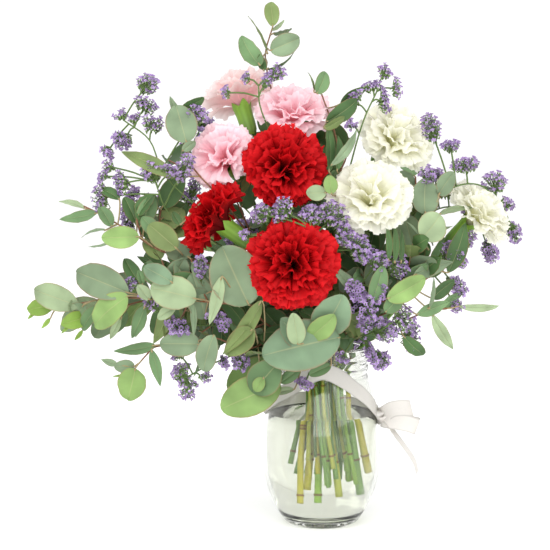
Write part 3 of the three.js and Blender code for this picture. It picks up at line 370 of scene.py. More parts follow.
# each sprig's leaves:
# (base, tip, width, degrees that the blade is rolled away from the viewer, tone)
LEAVES = {
    "top": [
        ((-40, -23, 404), (-42, -10, 424), 11, 10, "olive"),
        ((-41, -25, 401), (-31, -21, 409), 6, 60, "pale"),
        ((-40, -27, 398), (-25, -26, 402), 8, 70, "grey"),
        ((-42, -40, 384), (-19, -35, 394), 16, 15, "grey"),
        ((-44, -35, 382), (-60, -13, 413), 7, 78, "olive"),
        ((-45, -45, 369), (-22, -36, 385), 8, 75, "dark"),
        ((-50, -49, 372), (-65, -31, 396), 14, 12, "green"),
        ((-47, -47, 368), (-50, -39, 381), 7, 20, "dark"),
    ],
    "top_right": [
        ((-6, -59, 350), (1, -49, 367), 11, 20, "green"),
        ((-8, -59, 351), (-13, -51, 367), 4, 65, "olive"),
        ((1, -74, 328), (25, -61, 345), 13, 20, "dark"),
        ((-1, -77, 323), (15, -72, 332), 8, 35, "olive"),
        ((4, -88, 295), (24, -73, 322), 9, 30, "grey"),
        ((3, -78, 290), (1, -63, 330), 11, 40, "dark"),
        ((9, -78, 291), (10, -69, 318), 9, 30, "dark"),
        ((12, -58, 342), (35, -45, 356), 9, 20, "dark"),
        ((4, -100, 274), (2, -99, 288), 10, 10, "bright"),
        ((0, -100, 275), (-15, -104, 275), 11, 15, "pale"),
    ],
    "left_high": [
        ((-106, -71, 312), (-115, -55, 341), 22, 6, "grey"),
        ((-110, -53, 339), (-93, -57, 347), 9, 35, "dark"),
        ((-109, -72, 306), (-99, -74, 313), 7, 20, "grey"),
        ((-113, -69, 285), (-159, -40, 305), 13, 20, "olive"),
        ((-110, -85, 250), (-116, -83, 260), 7, 20, "dark"),
        ((-111, -47, 333), (-121, -36, 349), 8, 40, "grey"),
    ],
    "left": [
        ((-160, -49, 268), (-176, -39, 276), 9, 40, "dark"),
        ((-166, -52, 247), (-176, -46, 262), 10, 20, "green"),
        ((-146, -58, 250), (-156, -51, 270), 11, 20, "dark"),
        ((-140, -66, 251), (-145, -63, 263), 7, 25, "dark"),
        ((-178, -43, 257), (-211, -23, 251), 11, 25, "green"),
        ((-189, -32, 260), (-212, -18, 265), 7, 45, "pale"),
        ((-143, -70, 240), (-174, -52, 238), 16, 10, "bright"),
        ((-171, -47, 244), (-192, -34, 237), 5, 65, "grey"),
        ((-163, -52, 236), (-187, -37, 230), 5, 65, "grey"),
        ((-128, -73, 241), (-141, -67, 255), 11, 20, "green"),
        ((-113, -86, 232), (-135, -76, 250), 17, 10, "olive"),
    ],
    "left_bunch": [
        ((-217, -14, 181), (-241, -2, 176), 13, 15, "lime"),
        ((-234, -3, 174), (-241, -2, 168), 3, 20, "lime"),
        ((-221, -10, 170), (-229, -7, 161), 4, 20, "lime"),
        ((-195, -32, 182), (-234, -9, 193), 19, 15, "pale"),
        ((-190, -38, 184), (-210, -23, 161), 16, 10, "grey"),
        ((-178, -44, 183), (-192, -33, 163), 11, 20, "green"),
        ((-152, -65, 196), (-196, -37, 210), 24, 10, "grey"),
        ((-152, -68, 194), (-181, -46, 168), 21, 15, "bright"),
        ((-139, -69, 186), (-151, -54, 159), 13, 20, "green"),
        ((-159, -54, 175), (-169, -44, 157), 7, 20, "pale"),
        ((-144, -58, 203), (-156, -53, 222), 11, 20, "dark"),
        ((-116, -71, 216), (-146, -57, 224), 11, 30, "dark"),
        ((-117, -83, 206), (-139, -73, 217), 14, 12, "blue"),
        ((-141, -66, 203), (-144, -66, 214), 6, 20, "green"),
        ((-135, -76, 192), (-144, -74, 203), 9, 15, "pale"),
        ((-121, -75, 185), (-134, -57, 155), 13, 20, "olive"),
    ],
    "left_low": [
        ((-132, -57, 154), (-167, -40, 147), 10, 25, "green"),
        ((-135, -58, 151), (-129, -49, 120), 10, 15, "green"),
        ((-164, -34, 135), (-178, -30, 139), 6, 20, "grey"),
        ((-150, -41, 135), (-167, -35, 134), 10, 15, "grey"),
        ((-149, -44, 134), (-156, -37, 107), 21, 8, "bright"),
        ((-158, -34, 127), (-169, -30, 125), 2, 10, "lime"),
        ((-119, -55, 153), (-125, -63, 170), 9, 30, "olive"),
    ],
    "centre_left": [
        ((-58, -104, 191), (-78, -103, 235), 36, 8, "grey"),
        ((-98, -90, 194), (-134, -76, 201), 24, 12, "pale"),
        ((-101, -89, 193), (-101, -78, 163), 8, 50, "grey"),
        ((-92, -76, 177), (-102, -80, 213), 21, 20, "grey"),
        ((-78, -109, 213), (-88, -100, 175), 11, 25, "pale"),
        ((-114, -82, 187), (-129, -73, 177), 9, 20, "pale"),
        ((-108, -83, 189), (-128, -75, 187), 3, 10, "lime"),
    ],
    "front_left": [
        ((-96, -74, 157), (-128, -64, 156), 19, 15, "grey"),
        ((-85, -87, 166), (-94, -67, 135), 16, 15, "grey"),
        ((-97, -74, 160), (-103, -55, 128), 9, 70, "green"),
        ((-48, -112, 195), (-79, -84, 150), 14, 30, "olive"),
        ((-55, -98, 172), (-76, -82, 150), 17, 10, "olive"),
        ((-36, -78, 143), (-56, -65, 118), 24, 10, "green"),
        ((-34, -62, 125), (-81, -55, 103), 28, 10, "bright"),
        ((-47, -75, 131), (-54, -71, 120), 9, 15, "bright"),
        ((-23, -62, 120), (-43, -62, 115), 7, 30, "pale"),
        ((-19, -74, 138), (-34, -69, 126), 9, 20, "green"),
    ],
    "front_right": [
        ((11, -93, 165), (-48, -87, 150), 35, 10, "blue"),
        ((-16, -86, 158), (-34, -102, 180), 17, 15, "blue"),
        ((-4, -87, 167), (13, -99, 198), 27, 12, "blue"),
        ((-12, -93, 165), (7, -102, 183), 16, 10, "bright"),
        ((-21, -97, 160), (-25, -114, 186), 13, 12, "pale"),
        ((5, -76, 141), (-12, -74, 133), 9, 20, "green"),
    ],
    "right_high": [
        ((89, -57, 272), (102, -47, 289), 14, 15, "grey"),
        ((78, -63, 257), (79, -58, 285), 21, 12, "grey"),
        ((74, -77, 239), (89, -69, 257), 22, 10, "pale"),
        ((88, -62, 257), (119, -43, 261), 7, 40, "pale"),
        ((80, -72, 230), (61, -83, 253), 6, 70, "grey"),
        ((48, -87, 223), (46, -89, 251), 6, 30, "dark"),
        ((53, -84, 221), (52, -86, 252), 6, 30, "dark"),
        ((58, -82, 221), (58, -83, 247), 6, 30, "dark"),
        ((97, -56, 211), (111, -48, 250), 16, 15, "dark"),
    ],
    "right": [
        ((68, -79, 211), (100, -62, 220), 14, 15, "grey"),
        ((47, -90, 194), (77, -77, 209), 17, 15, "bright"),
        ((36, -87, 192), (44, -87, 219), 13, 20, "green"),
        ((36, -81, 192), (4, -93, 221), 11, 20, "grey"),
        ((84, -65, 192), (102, -56, 205), 11, 20, "dark"),
        ((81, -69, 184), (84, -72, 209), 6, 40, "grey"),
        ((71, -71, 180), (98, -60, 189), 11, 20, "green"),
        ((46, -84, 183), (59, -83, 198), 13, 15, "green"),
    ],
    "right_low": [
        ((84, -64, 179), (103, -44, 149), 10, 15, "pale"),
        ((106, -50, 184), (142, -27, 182), 7, 20, "pale"),
        ((62, -67, 162), (79, -54, 146), 11, 20, "dark"),
        ((92, -55, 182), (110, -48, 195), 9, 25, "green"),
    ],
}
# the same for statice, and each sprig's heads: (middle, width, height)
STATICE_STEMS = {
    "left_high": [
        (-48, -39, 223), (-85, -56, 252), (-106, -62, 269), (-125, -59, 289), (-136, -50, 314),
        (-158, -33, 330),
    ],
    "left": [(-52, -39, 211), (-87, -53, 236), (-121, -59, 258), (-131, -61, 282)],
    "top": [(-26, -40, 243), (-37, -49, 306), (-50, -58, 341), (-51, -56, 356)],
    "right_high": [(10, -36, 243), (22, -45, 299), (31, -55, 331), (41, -48, 352)],
    "right_edge": [(34, -30, 203), (73, -42, 247), (100, -40, 276), (123, -32, 279), (142, -23, 265)],
    "right": [(29, -28, 178), (65, -48, 204), (92, -52, 219), (106, -50, 231)],
    "centre": [(-7, -53, 189), (-10, -84, 227), (-12, -106, 253)],
    "centre_right": [(10, -45, 172), (27, -76, 203), (39, -86, 220)],
    "front_right": [(12, -33, 159), (31, -58, 162), (46, -78, 170)],
    "left_low": [(-28, -36, 164), (-70, -62, 170), (-112, -66, 173), (-134, -68, 186)],
    "bottom_left": [(-17, -34, 160), (-56, -58, 152), (-93, -59, 137), (-109, -51, 127)],
}
HEADS = {
    "left_high": [
        ((-139, -26, 359), 18, 17), ((-140, -35, 342), 21, 11), ((-161, -27, 334), 11, 11),
        ((-149, -35, 331), 9, 10), ((-134, -45, 327), 18, 13), ((-159, -37, 314), 17, 15),
        ((-171, -33, 305), 13, 9),
    ],
    "left": [
        ((-170, -37, 294), 11, 9), ((-175, -36, 286), 9, 9), ((-159, -47, 281), 21, 12),
        ((-176, -39, 269), 30, 13), ((-134, -59, 290), 17, 17), ((-119, -67, 290), 16, 9),
        ((-108, -71, 293), 13, 28), ((-99, -57, 334), 16, 15),
    ],
    "top": [
        ((-77, -53, 351), 11, 6), ((-61, -48, 363), 9, 8), ((-44, -51, 361), 8, 17),
        ((-36, -48, 367), 13, 13),
    ],
    "right_high": [
        ((48, -33, 368), 13, 11), ((37, -44, 356), 18, 9), ((57, -37, 355), 18, 7),
        ((22, -55, 345), 21, 9), ((47, -48, 345), 22, 9), ((20, -67, 326), 8, 8),
    ],
    "right_edge": [
        ((84, -41, 324), 15, 26), ((100, -38, 310), 16, 10), ((112, -35, 295), 25, 12),
        ((137, -22, 281), 21, 20), ((148, -17, 263), 10, 17), ((154, -14, 240), 13, 20),
        ((80, -57, 287), 12, 16),
    ],
    "right": [
        ((113, -44, 236), 12, 21), ((100, -52, 227), 17, 17), ((109, -47, 218), 8, 12),
        ((105, -49, 200), 12, 21), ((105, -47, 184), 10, 12),
    ],
    "centre": [
        ((-49, -95, 259), 16, 14), ((-33, -96, 262), 22, 16), ((-10, -95, 258), 20, 16),
        ((7, -92, 258), 24, 21), ((15, -92, 242), 19, 16), ((27, -89, 232), 24, 16),
        ((-61, -95, 243), 8, 8),
    ],
    "centre_right": [
        ((40, -84, 223), 20, 16), ((57, -77, 218), 21, 16), ((23, -90, 200), 20, 13),
        ((41, -84, 199), 20, 13), ((15, -90, 188), 8, 9), ((31, -85, 187), 24, 20),
    ],
    "front_right": [
        ((34, -79, 175), 19, 19), ((47, -71, 167), 19, 22), ((61, -70, 177), 24, 17),
        ((69, -58, 161), 24, 14), ((36, -63, 149), 7, 27), ((45, -56, 142), 16, 16),
        ((14, -67, 146), 12, 6),
    ],
    "left_low": [
        ((-151, -58, 202), 11, 12), ((-136, -66, 190), 9, 24), ((-127, -72, 214), 15, 6),
        ((-114, -70, 170), 20, 14), ((-107, -66, 159), 8, 8), ((-82, -84, 177), 20, 16),
        ((-95, -86, 219), 9, 21),
    ],
    "bottom_left": [
        ((-113, -57, 147), 16, 6), ((-112, -51, 135), 14, 8), ((-111, -46, 125), 27, 13),
        ((-108, -44, 113), 14, 9), ((-93, -52, 128), 9, 10), ((-78, -63, 141), 7, 12),
        ((-65, -65, 142), 13, 16), ((-15, -56, 124), 13, 10),
    ],
}

# ---- places and colours ----

def around(radius, angle, height=0.0):
    """A point at a radius and a height, turned by an angle about the axis."""
    return Vector((radius * cos(angle), radius * sin(angle), height))


def direction_at(points, i):
    return (points[min(i + 1, len(points) - 1)] - points[max(i - 1, 0)]).normalized()


def random_across(rng, along):
    """A random direction square to along."""
    across = along.orthogonal().normalized()
    across.rotate(Matrix.Rotation(rng.uniform(0, tau), 3, along))
    return across


def facing(direction):
    return UP.rotation_difference(Vector(direction).normalized()).to_matrix()


def mixed(a, b, share):
    return tuple(p + (q - p) * share for p, q in zip(a, b))


def scaled(colour, factor):
    return tuple(min(1.0, c * factor) for c in colour)


def smooth_step(low, high, value):
    t = min(1.0, max(0.0, (value - low) / (high - low)))
    return t * t * (3 - 2 * t)


def bezier(a, b, c, t):
    return a * ((1 - t) ** 2) + b * (2 * t * (1 - t)) + c * (t * t)


def between(a, b, start, end, t):
    return a * ((end - t) / (end - start)) + b * ((t - start) / (end - start))


def curve_through(points, steps_between=5):
    """Points along a centripetal Catmull-Rom curve through the given ones."""
    ends = [points[0] * 2 - points[1], *points, points[-1] * 2 - points[-2]]
    found = []
    for four in zip(ends, ends[1:], ends[2:], ends[3:]):
        knots = [0.0]
        for p, q in zip(four, four[1:]):
            knots.append(knots[-1] + max(1e-3, (q - p).length ** 0.5))
        for k in range(steps_between):
            t = knots[1] + (knots[2] - knots[1]) * k / steps_between
            ab, bc, cd = (between(four[i], four[i + 1], knots[i], knots[i + 1], t) for i in range(3))
            left = between(ab, bc, knots[0], knots[2], t)
            right = between(bc, cd, knots[1], knots[3], t)
            found.append(between(left, right, knots[1], knots[2], t))
    found.append(points[-1])
    return found


# ---- meshes ----

class Shape:
    """Vertices in millimetres, faces, and a colour for each vertex, gathered for one mesh."""

    def __init__(self):
        self.vertices = []
        self.colours = []
        self.faces = []

    def point(self, place, colour):
        self.vertices.append(place)
        self.colours.append(colour)
        return len(self.vertices) - 1

    def grid(self, rows, closed=False):
        """A sheet through rows of (place, colour); closed joins each row's end to its start."""
        start = len(self.vertices)
        width = len(rows[0])
        for place, colour in (spot for row in rows for spot in row):
            self.point(place, colour)
        for i in range(len(rows) - 1):
            for j in range(width if closed else width - 1):
                a, b = start + i * width + j, start + i * width + (j + 1) % width
                self.faces.append((a, b, b + width, a + width))

    def turned_grid(self, rows, place, turn, closed=False):
        """The same sheet, turned and then moved to place."""
        self.grid([[(place + turn @ spot, colour) for spot, colour in row] for row in rows], closed)

    def tube(self, points, radii, sides, colours):
        """A round rod along points, with a radius and a colour for each, closed at both ends."""
        rows = []
        side = None
        for i, place in enumerate(points):
            along = direction_at(points, i)
            if side is None:
                side = along.orthogonal()
            side = (side - along * side.dot(along)).normalized()
            front = along.cross(side)
            turns = [tau * k / sides for k in range(sides)]
            ring = [place + (side * cos(a) + front * sin(a)) * radii[i] for a in turns]
            rows.append([(spot, colours[i]) for spot in ring])
        start = len(self.vertices)
        self.grid(rows, closed=True)
        self.faces.append(tuple(range(start + sides - 1, start - 1, -1)))
        end = start + (len(points) - 1) * sides
        self.faces.append(tuple(range(end, end + sides)))

    def rod(self, points, radius, sides, colour):
        self.tube(points, [radius] * len(points), sides, [colour] * len(points))

    def lathe(self, profile, segments, colour):
        """A profile of (radius, height) pairs turned about the jar's axis, closed on the axis."""
        rings = []
        for radius, height in profile:
            count = segments if radius else 1
            turns = [tau * k / segments for k in range(count)]
            rings.append([self.point(around(radius, angle, height), colour) for angle in turns])
        for low, high in zip(rings, rings[1:]):
            for k in range(segments):
                after = (k + 1) % segments
                if len(low) == 1:
                    self.faces.append((low[0], high[after], high[k]))
                elif len(high) == 1:
                    self.faces.append((low[k], low[after], high[0]))
                else:
                    self.faces.append((low[k], low[after], high[after], high[k]))

    def build(self, name, material):
        mesh = bpy.data.meshes.new(name)
        mesh.from_pydata([place * MM for place in self.vertices], [], self.faces)
        mesh.validate()
        tones = mesh.color_attributes.new("tone", "FLOAT_COLOR", "POINT")
        tones.data.foreach_set("color", [c for tint in self.colours for c in (*tint, 1)])
        mesh.polygons.foreach_set("use_smooth", [True] * len(mesh.polygons))
        mesh.materials.append(material)
        return in_scene(name, mesh)


def in_scene(name, data):
    thing = bpy.data.objects.new(name, data)
    bpy.context.scene.collection.objects.link(thing)
    return thing


def shown(piece, slot, *nodes):
    """The piece takes these CAD nodes' place and stays with the bouquet's only body."""
    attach(piece, "root")
    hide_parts(*nodes)
    return piece


# ---- materials ----

def new_material(name):
    material = bpy.data.materials.new(name)
    material.use_nodes = True
    nodes = material.node_tree.nodes
    return material, nodes, material.node_tree.links, nodes["Principled BSDF"]


def set_inputs(node, values):
    for name, value in values.items():
        node.inputs[name].default_value = value
    return node


def mixed_surface(nodes, links, first, second):
    """Both shaders, mixed into the material's surface; returns the input for second's share."""
    both = nodes.new("ShaderNodeMixShader")
    links.new(first.outputs["BSDF"], both.inputs[1])
    links.new(second.outputs["BSDF"], both.inputs[2])
    links.new(both.outputs["Shader"], nodes["Material Output"].inputs["Surface"])
    return both.inputs["Fac"]


def toned_material(name, roughness, through, grain, grain_scale):
    """The mesh's own tones with a little grain; through is how much light passes the sheet."""
    material, nodes, links, surface = new_material(name)
    tone = nodes.new("ShaderNodeAttribute")
    tone.attribute_name = "tone"
    place = nodes.new("ShaderNodeTexCoord")
    speckle = set_inputs(nodes.new("ShaderNodeTexNoise"), {"Scale": grain_scale, "Detail": 3})
    links.new(place.outputs["Object"], speckle.inputs["Vector"])
    spread = set_inputs(nodes.new("ShaderNodeMapRange"), {"To Min": 1 - grain, "To Max": 1 + grain})
    links.new(speckle.outputs["Fac"], spread.inputs["Value"])
    shade = nodes.new("ShaderNodeVectorMath")
    shade.operation = "SCALE"
    links.new(tone.outputs["Color"], shade.inputs[0])
    links.new(spread.outputs["Result"], shade.inputs["Scale"])
    links.new(shade.outputs["Vector"], surface.inputs["Base Color"])
    set_inputs(surface, {"Roughness": roughness, "Specular IOR Level": 0.25})
    if through:
        glow = nodes.new("ShaderNodeBsdfTranslucent")
        links.new(shade.outputs["Vector"], glow.inputs["Color"])
        mixed_surface(nodes, links, surface, glow).default_value = through
    return material


def clear_material(name, colour, ior):
    """Glass or water that lets the lamps through to what stands behind it."""
    material, nodes, links, surface = new_material(name)
    tint = (*colour, 1)
    set_inputs(surface, {"Base Color": tint, "Transmission Weight": 1, "Roughness": 0, "IOR": ior})
    clear = set_inputs(nodes.new("ShaderNodeBsdfTransparent"), {"Color": tint})
    rays = nodes.new("ShaderNodeLightPath")
    links.new(rays.outputs["Is Shadow Ray"], mixed_surface(nodes, links, surface, clear))
    return material


materials = {name: toned_material(name, *look) for name, look in TONED.items()}

# ---- the jar, the water and the ribbon ----

def jar_radius(height):
    """The glass's outer radius at a height, straight between the profile's points."""
    for (r0, z0), (r1, z1) in zip(JAR_OUTSIDE, JAR_OUTSIDE[1:]):
        if height <= z1:
            return r0 + (r1 - r0) * (height - z0) / (z1 - z0)
    return JAR_OUTSIDE[-1][0]


def rounded(profile):
    """The profile as a smooth curve through the same points."""
    curve = curve_through([Vector((r, z, 0)) for r, z in profile], 4)
    return [(p.x, p.y) for p in curve]


def thread(height, angle):
    """How far the two ridges of the screw thread stand out, at one place on the neck."""
    rise = 0.0
    for ridge in THREAD_HEIGHTS:
        turn = ridge + (angle / tau - 0.5) * THREAD_PITCH
        rise += THREAD_DEPTH * exp(-((height - turn) / THREAD_HALF) ** 2)
    return rise


def glass_jar():
    shape = Shape()
    rim = JAR_OUTSIDE[-1][0]
    body = rounded(JAR_OUTSIDE[:-1])
    neck = [(rim, z) for z in NECK_HEIGHTS]
    lip = [(rim - inwards, z) for inwards, z in JAR_LIP]
    inside = []
    for r, z in rounded([p for p in JAR_OUTSIDE if p[1] >= INSIDE_LOW]):
        if z < INSIDE_HIGH:
            r -= GLASS_WALL
            inside.append((min(r, rim - GLASS_WALL) if z > NECK_LOW else r, z))
    profile = [*JAR_FOOT, *body, *neck, *lip, *reversed(inside), *JAR_FLOOR]
    shape.lathe(profile, JAR_SEGMENTS, COLOURLESS)
    for place in shape.vertices:
        outer = hypot(place.x, place.y)
        if THREAD_SPAN[0] < place.z < THREAD_SPAN[1] and outer > rim - 0.1:
            angle = atan2(place.y, place.x) % tau
            grown = (outer + thread(place.z, angle)) / outer
            place.x *= grown
            place.y *= grown
    piece = shape.build("jar_glass", clear_material("clear glass", GLASS_TINT, GLASS_IOR))
    return shown(piece, "glass", "glass_jar")


def water():
    shape = Shape()
    gap = GLASS_WALL + WATER_GAP
    sides = [p for p in JAR_OUTSIDE if INSIDE_LOW <= p[1] <= WATER_WALL_TOP]
    wall = [(r - gap, z) for r, z in rounded(sides)]
    top = jar_radius(WATER_LEVEL) - gap
    wall += [(top - inwards, WATER_LEVEL + rise) for inwards, rise in WATER_EDGE]
    shape.lathe([*WATER_FLOOR, *wall, (0, WATER_LEVEL)], JAR_SEGMENTS, COLOURLESS)
    piece = shape.build("jar_water", clear_material("water", WATER_TINT, WATER_IOR))
    return shown(piece, "water", "water")


def ribbon_route():
    """The middle of the strip and the way its width points, from its free end to the knot."""
    route = [(Vector(p), Vector(TAIL_WIDE)) for p in TAIL]
    heights = curve_through([Vector((a, z, 0)) for a, z in BAND_HEIGHTS], 6)
    for spot in heights:
        angle, height = radians(spot.x), spot.y
        out = around(1, angle)
        low, high = jar_radius(height - RIBBON_WIDTH / 2), jar_radius(height + RIBBON_WIDTH / 2)
        reach = max(jar_radius(height), (low + high) / 2) + RIBBON_GAP
        route.append((out * reach + UP * height, out * (high - low) + UP * RIBBON_WIDTH))
    for places, wide in ((LOOP_HIGH, HIGH_WIDE), (LOOP_LOW, LOW_WIDE), (WRAP, WRAP_WIDE)):
        route += [(Vector(p), Vector(wide)) for p in places]
    return route


def ribbon():
    shape = Shape()
    route = ribbon_route()
    middle = curve_through([p for p, _ in route], 4)
    across = curve_through([w.normalized() for _, w in route], 4)
    rows = []
    length = 0.0
    for i, place in enumerate(middle):
        along = direction_at(middle, i)
        if i:
            length += (place - middle[i - 1]).length
        wide = (across[i] - along * across[i].dot(along)).normalized()
        thick = along.cross(wide)
        crease = RIBBON_CREASE * noise.noise(Vector((length * CREASES, 3.1, 0)))
        row = []
        for k in range(RIBBON_COLUMNS + 1):
            u = k / RIBBON_COLUMNS - 0.5
            fold = crease * cos(u * tau * 1.5)
            # both edge columns take the darker colour, and the creases' hollows darken towards it as
            # painted shade
            shade = 0.8 if k in (0, RIBBON_COLUMNS) else max(0, -fold) * 0.6
            spot = place + wide * (u * RIBBON_WIDTH) + thick * fold
            row.append((spot, mixed(RIBBON_CREAM, RIBBON_DARK_EDGE_AND_CREASE_SHADE, shade)))
        rows.append(row)
    shape.grid(rows)
    piece = shape.build("ribbon_strip", materials["sheer ribbon"])
    shown(piece, "ribbon", "ribbon")
    return piece


# ---- stems ----

def centre_at(node, height):
    """The middle of a CAD stem at a height inside the jar, or None where it has none."""
    mesh = bpy.data.objects[node].data
    level = height * MM
    found = []
    for edge in mesh.edges:
        a, b = (mesh.vertices[v].co for v in edge.vertices)
        if (a.z - level) * (b.z - level) < 0:
            spot = a.lerp(b, (level - a.z) / (b.z - a.z))
            if hypot(spot.x, spot.y) < SLICE_REACH * MM:
                found.append(spot / MM)
    return sum(found, Vector()) / len(found) if found else None


def stem_foot(node):
    """The middle of a CAD stem's cut end."""
    vertices = [v.co / MM for v in bpy.data.objects[node].data.vertices]
    lowest = min(v.z for v in vertices)
    end = [v for v in vertices if v.z < lowest + FOOT_DEPTH]
    return sum(end, Vector()) / len(end)


def stem_path(node, route):
    """The stem's curve: as the CAD has it in the jar, then along its route above the rim."""
    foot = stem_foot(node)
    inside = [centre_at(node, h) for h in SLICE_HEIGHTS if h > foot.z + FOOT_CLEARANCE]
    return curve_through([foot, *[p for p in inside if p], *[Vector(p) for p in route]])


def add_stem(shape, path, low, high, thick, thin, sides, ring_every=0):
    """A tapering rod, low and high its colours, with a brown ring at every so many points."""
    points, radii, tints = [], [], []
    for i, place in enumerate(path):
        share = i / (len(path) - 1)
        radius = thin + (thick - thin) * (1 - share) ** STEM_TAPER
        tone = mixed(low, high, smooth_step(*STEM_TURNS, share))
        ringed = ring_every and i % ring_every == ring_every // 2
        along = direction_at(path, i)
        for step, swell, brown in STEM_RING_ROWS if ringed else [(0, 1, 0)]:
            points.append(place + along * step)
            radii.append(radius * swell)
            tints.append(mixed(tone, STEM_RING, brown))
    shape.tube(points, radii, sides, tints)


def nearest_on(path, place):
    """The index of the point nearest to place, on the part of a stem that can have a branch."""
    start = int(len(path) * BRANCHED)
    return min(range(start, len(path)), key=lambda i: (path[i] - place).length)


# ---- carnations ----

def add_petal(shape, rng, radius, spin, lean, palette, place, turn):
    """One fan-shaped petal with a ruffled, fringed edge, in a flower at place turned by turn."""
    colours = PETAL_COLOURS[palette]
    out = around(1, spin)
    side = UP.cross(out)
    outward = radius * sin(lean)
    base = UP * (BLOOM_UNDERSIDE - PETAL_SINK) * radius + out * (PETAL_TUCK * outward)
    reach = rng.uniform(*PETAL_REACH) * outward
    height = radius * BLOOM_HEIGHT * rng.uniform(*PETAL_RISE)
    tip = out * reach + UP * (height * cos(lean))
    if lean > pi / 2:
        tip += UP * (-PETAL_DROOP * radius * (lean - pi / 2))
    middle = base.lerp(tip, 0.5) + UP * (PETAL_BELLY * outward) - out * (PETAL_TUCK * radius)
    inner = 1 - min(1.0, lean / 1.2)
    fan = radius * (PETAL_HALF - PETAL_NARROWING * inner) * rng.uniform(*PETAL_BREADTH) * FANS[palette]
    cup = rng.uniform(*PETAL_CUP) * (0.4 + inner)
    waves, ripples = rng.uniform(*PETAL_WAVES) * pi, rng.uniform(*PETAL_RIPPLES) * pi
    wave_start, ripple_start = rng.uniform(0, tau), rng.uniform(0, tau)
    swing = radius * rng.uniform(*PETAL_SWING) * RUFFLES[palette]
    bright = rng.uniform(*PETAL_TONE)
    fringe_share = PETAL_FRINGE * radius / (tip - base).length
    rows = []
    for i in range(PETAL_ROWS + 1):
        s = i / PETAL_ROWS
        half = fan * (0.12 + 0.88 * s ** 1.15)
        edge = swing * s ** 2.4
        # painted shade: darker towards the petal's base, in the bloom's creases, over the flower's own
        # deeper tint there
        body = mixed(colours["base_tint_and_crease_shade"], colours["body"], smooth_step(0.25, 0.75, s))
        # painted highlight: lighter towards the petal's edge
        tone = scaled(mixed(body, colours["edge"], smooth_step(0.72, 1.0, s)), bright)
        row = []
        for j in range(PETAL_COLUMNS + 1):
            t = 2 * j / PETAL_COLUMNS - 1
            along = s * (1 - 0.20 * t * t * s)
            if i == PETAL_ROWS and j % 2:
                along += rng.uniform(0.2, 1.0) * fringe_share
            spot = bezier(base, middle, tip, along)
            ahead = bezier(base, middle, tip, along + 0.02) - spot
            normal = ahead.cross(side).normalized() * -1
            offset = half * sin(PETAL_BEND * t) / sin(PETAL_BEND)
            ruffle = sin(waves * t + wave_start) + 0.45 * sin(ripples * t + ripple_start)
            lift = cup * offset * offset / max(half, 1e-6) * s + edge * ruffle
            sway = 0.3 * edge * cos(ripples * t + wave_start)
            row.append((spot + side * (offset + sway) + normal * lift, tone))
        rows.append(row)
    shape.turned_grid(rows, place, turn)


def carnation_bloom(name, middle, radius, faces, palette):
    rng = random.Random("bloom " + name)
    shape = Shape()
    turn = facing(faces)
    spin = rng.uniform(0, tau)
    count = PETALS[palette]
    for k in range(count):
        share = (k + 0.5) / count
        lean = PETAL_LEAN * share ** PETAL_CROWDING + rng.uniform(-0.06, 0.06)
        spin += GOLDEN_ANGLE + rng.uniform(-0.25, 0.25)
        add_petal(shape, rng, radius, spin, lean, palette, Vector(middle), turn)
    piece = shape.build("petals_" + name, materials["red petals" if palette == "red" else "pale petals"])
    return shown(piece, "petals_" + name.split("_")[0], "carnation_%s_bloom" % name)


def add_calyx(shape, middle, radius, faces):
    """The green cup under a bloom, with five pointed teeth and four short bracts below."""
    middle, turn = Vector(middle), facing(faces)
    top = BLOOM_UNDERSIDE * radius
    turns = [tau * k / CALYX_SIDES for k in range(CALYX_SIDES)]
    rows = []
    for share, down in CALYX_PROFILE:
        tone = mixed(CALYX_GREEN, STEM_GREEN, smooth_step(0.1, 0.9, down))
        tones = [scaled(tone, 1.1 if k % 2 else 0.88) for k in range(CALYX_SIDES)]
        ring = [around(CALYX_RADIUS * share, angle, top - CALYX_LENGTH * down) for angle in turns]
        rows.append(list(zip(ring, tones)))
    teeth = []
    for k, angle in enumerate(turns):
        tooth = abs(((k / CALYX_SIDES * CALYX_TEETH) % 1) - 0.5) * 2
        spot = around(CALYX_RADIUS * (1.12 + 0.22 * tooth), angle, top - TOOTH_FOOT + TOOTH_HEIGHT * tooth)
        teeth.append((spot, scaled(CALYX_GREEN, 1.1)))
    rows.append(teeth)
    shape.turned_grid(rows, middle, turn, closed=True)
    for k in range(BRACTS):
        out = around(1, tau * k / BRACTS + 0.4)
        side = UP.cross(out)
        rows = []
        for share, half in BRACT_OUTLINE:
            reach = CALYX_RADIUS * (0.42 + 0.52 * share ** 0.6)
            centre = out * reach + UP * (top - CALYX_LENGTH + BRACT_LENGTH * share)
            across = (centre - side * half, centre + out * 0.4, centre + side * half)
            rows.append([(spot, scaled(CALYX_GREEN, 0.85)) for spot in across])
        shape.turned_grid(rows, middle, turn)


def carnation_stem(name, middle, radius, faces):
    node = "carnation_%s_stem" % name
    axis = Vector(faces).normalized()
    base = Vector(middle) + axis * (BLOOM_UNDERSIDE * radius - CALYX_LENGTH + 1)
    bend = base - axis * STEM_BEND["back"] - UP * STEM_BEND["drop"]
    shape = Shape()
    low = STEM_FEET[list(CARNATIONS).index(name) % len(STEM_FEET)]
    add_stem(shape, stem_path(node, [bend, base]), low, STEM_GREEN, **STEMS["carnation"])
    add_calyx(shape, middle, radius, faces)
    return shown(shape.build("stem_" + name, materials["stems"]), "stems", node)


# ---- eucalyptus ----

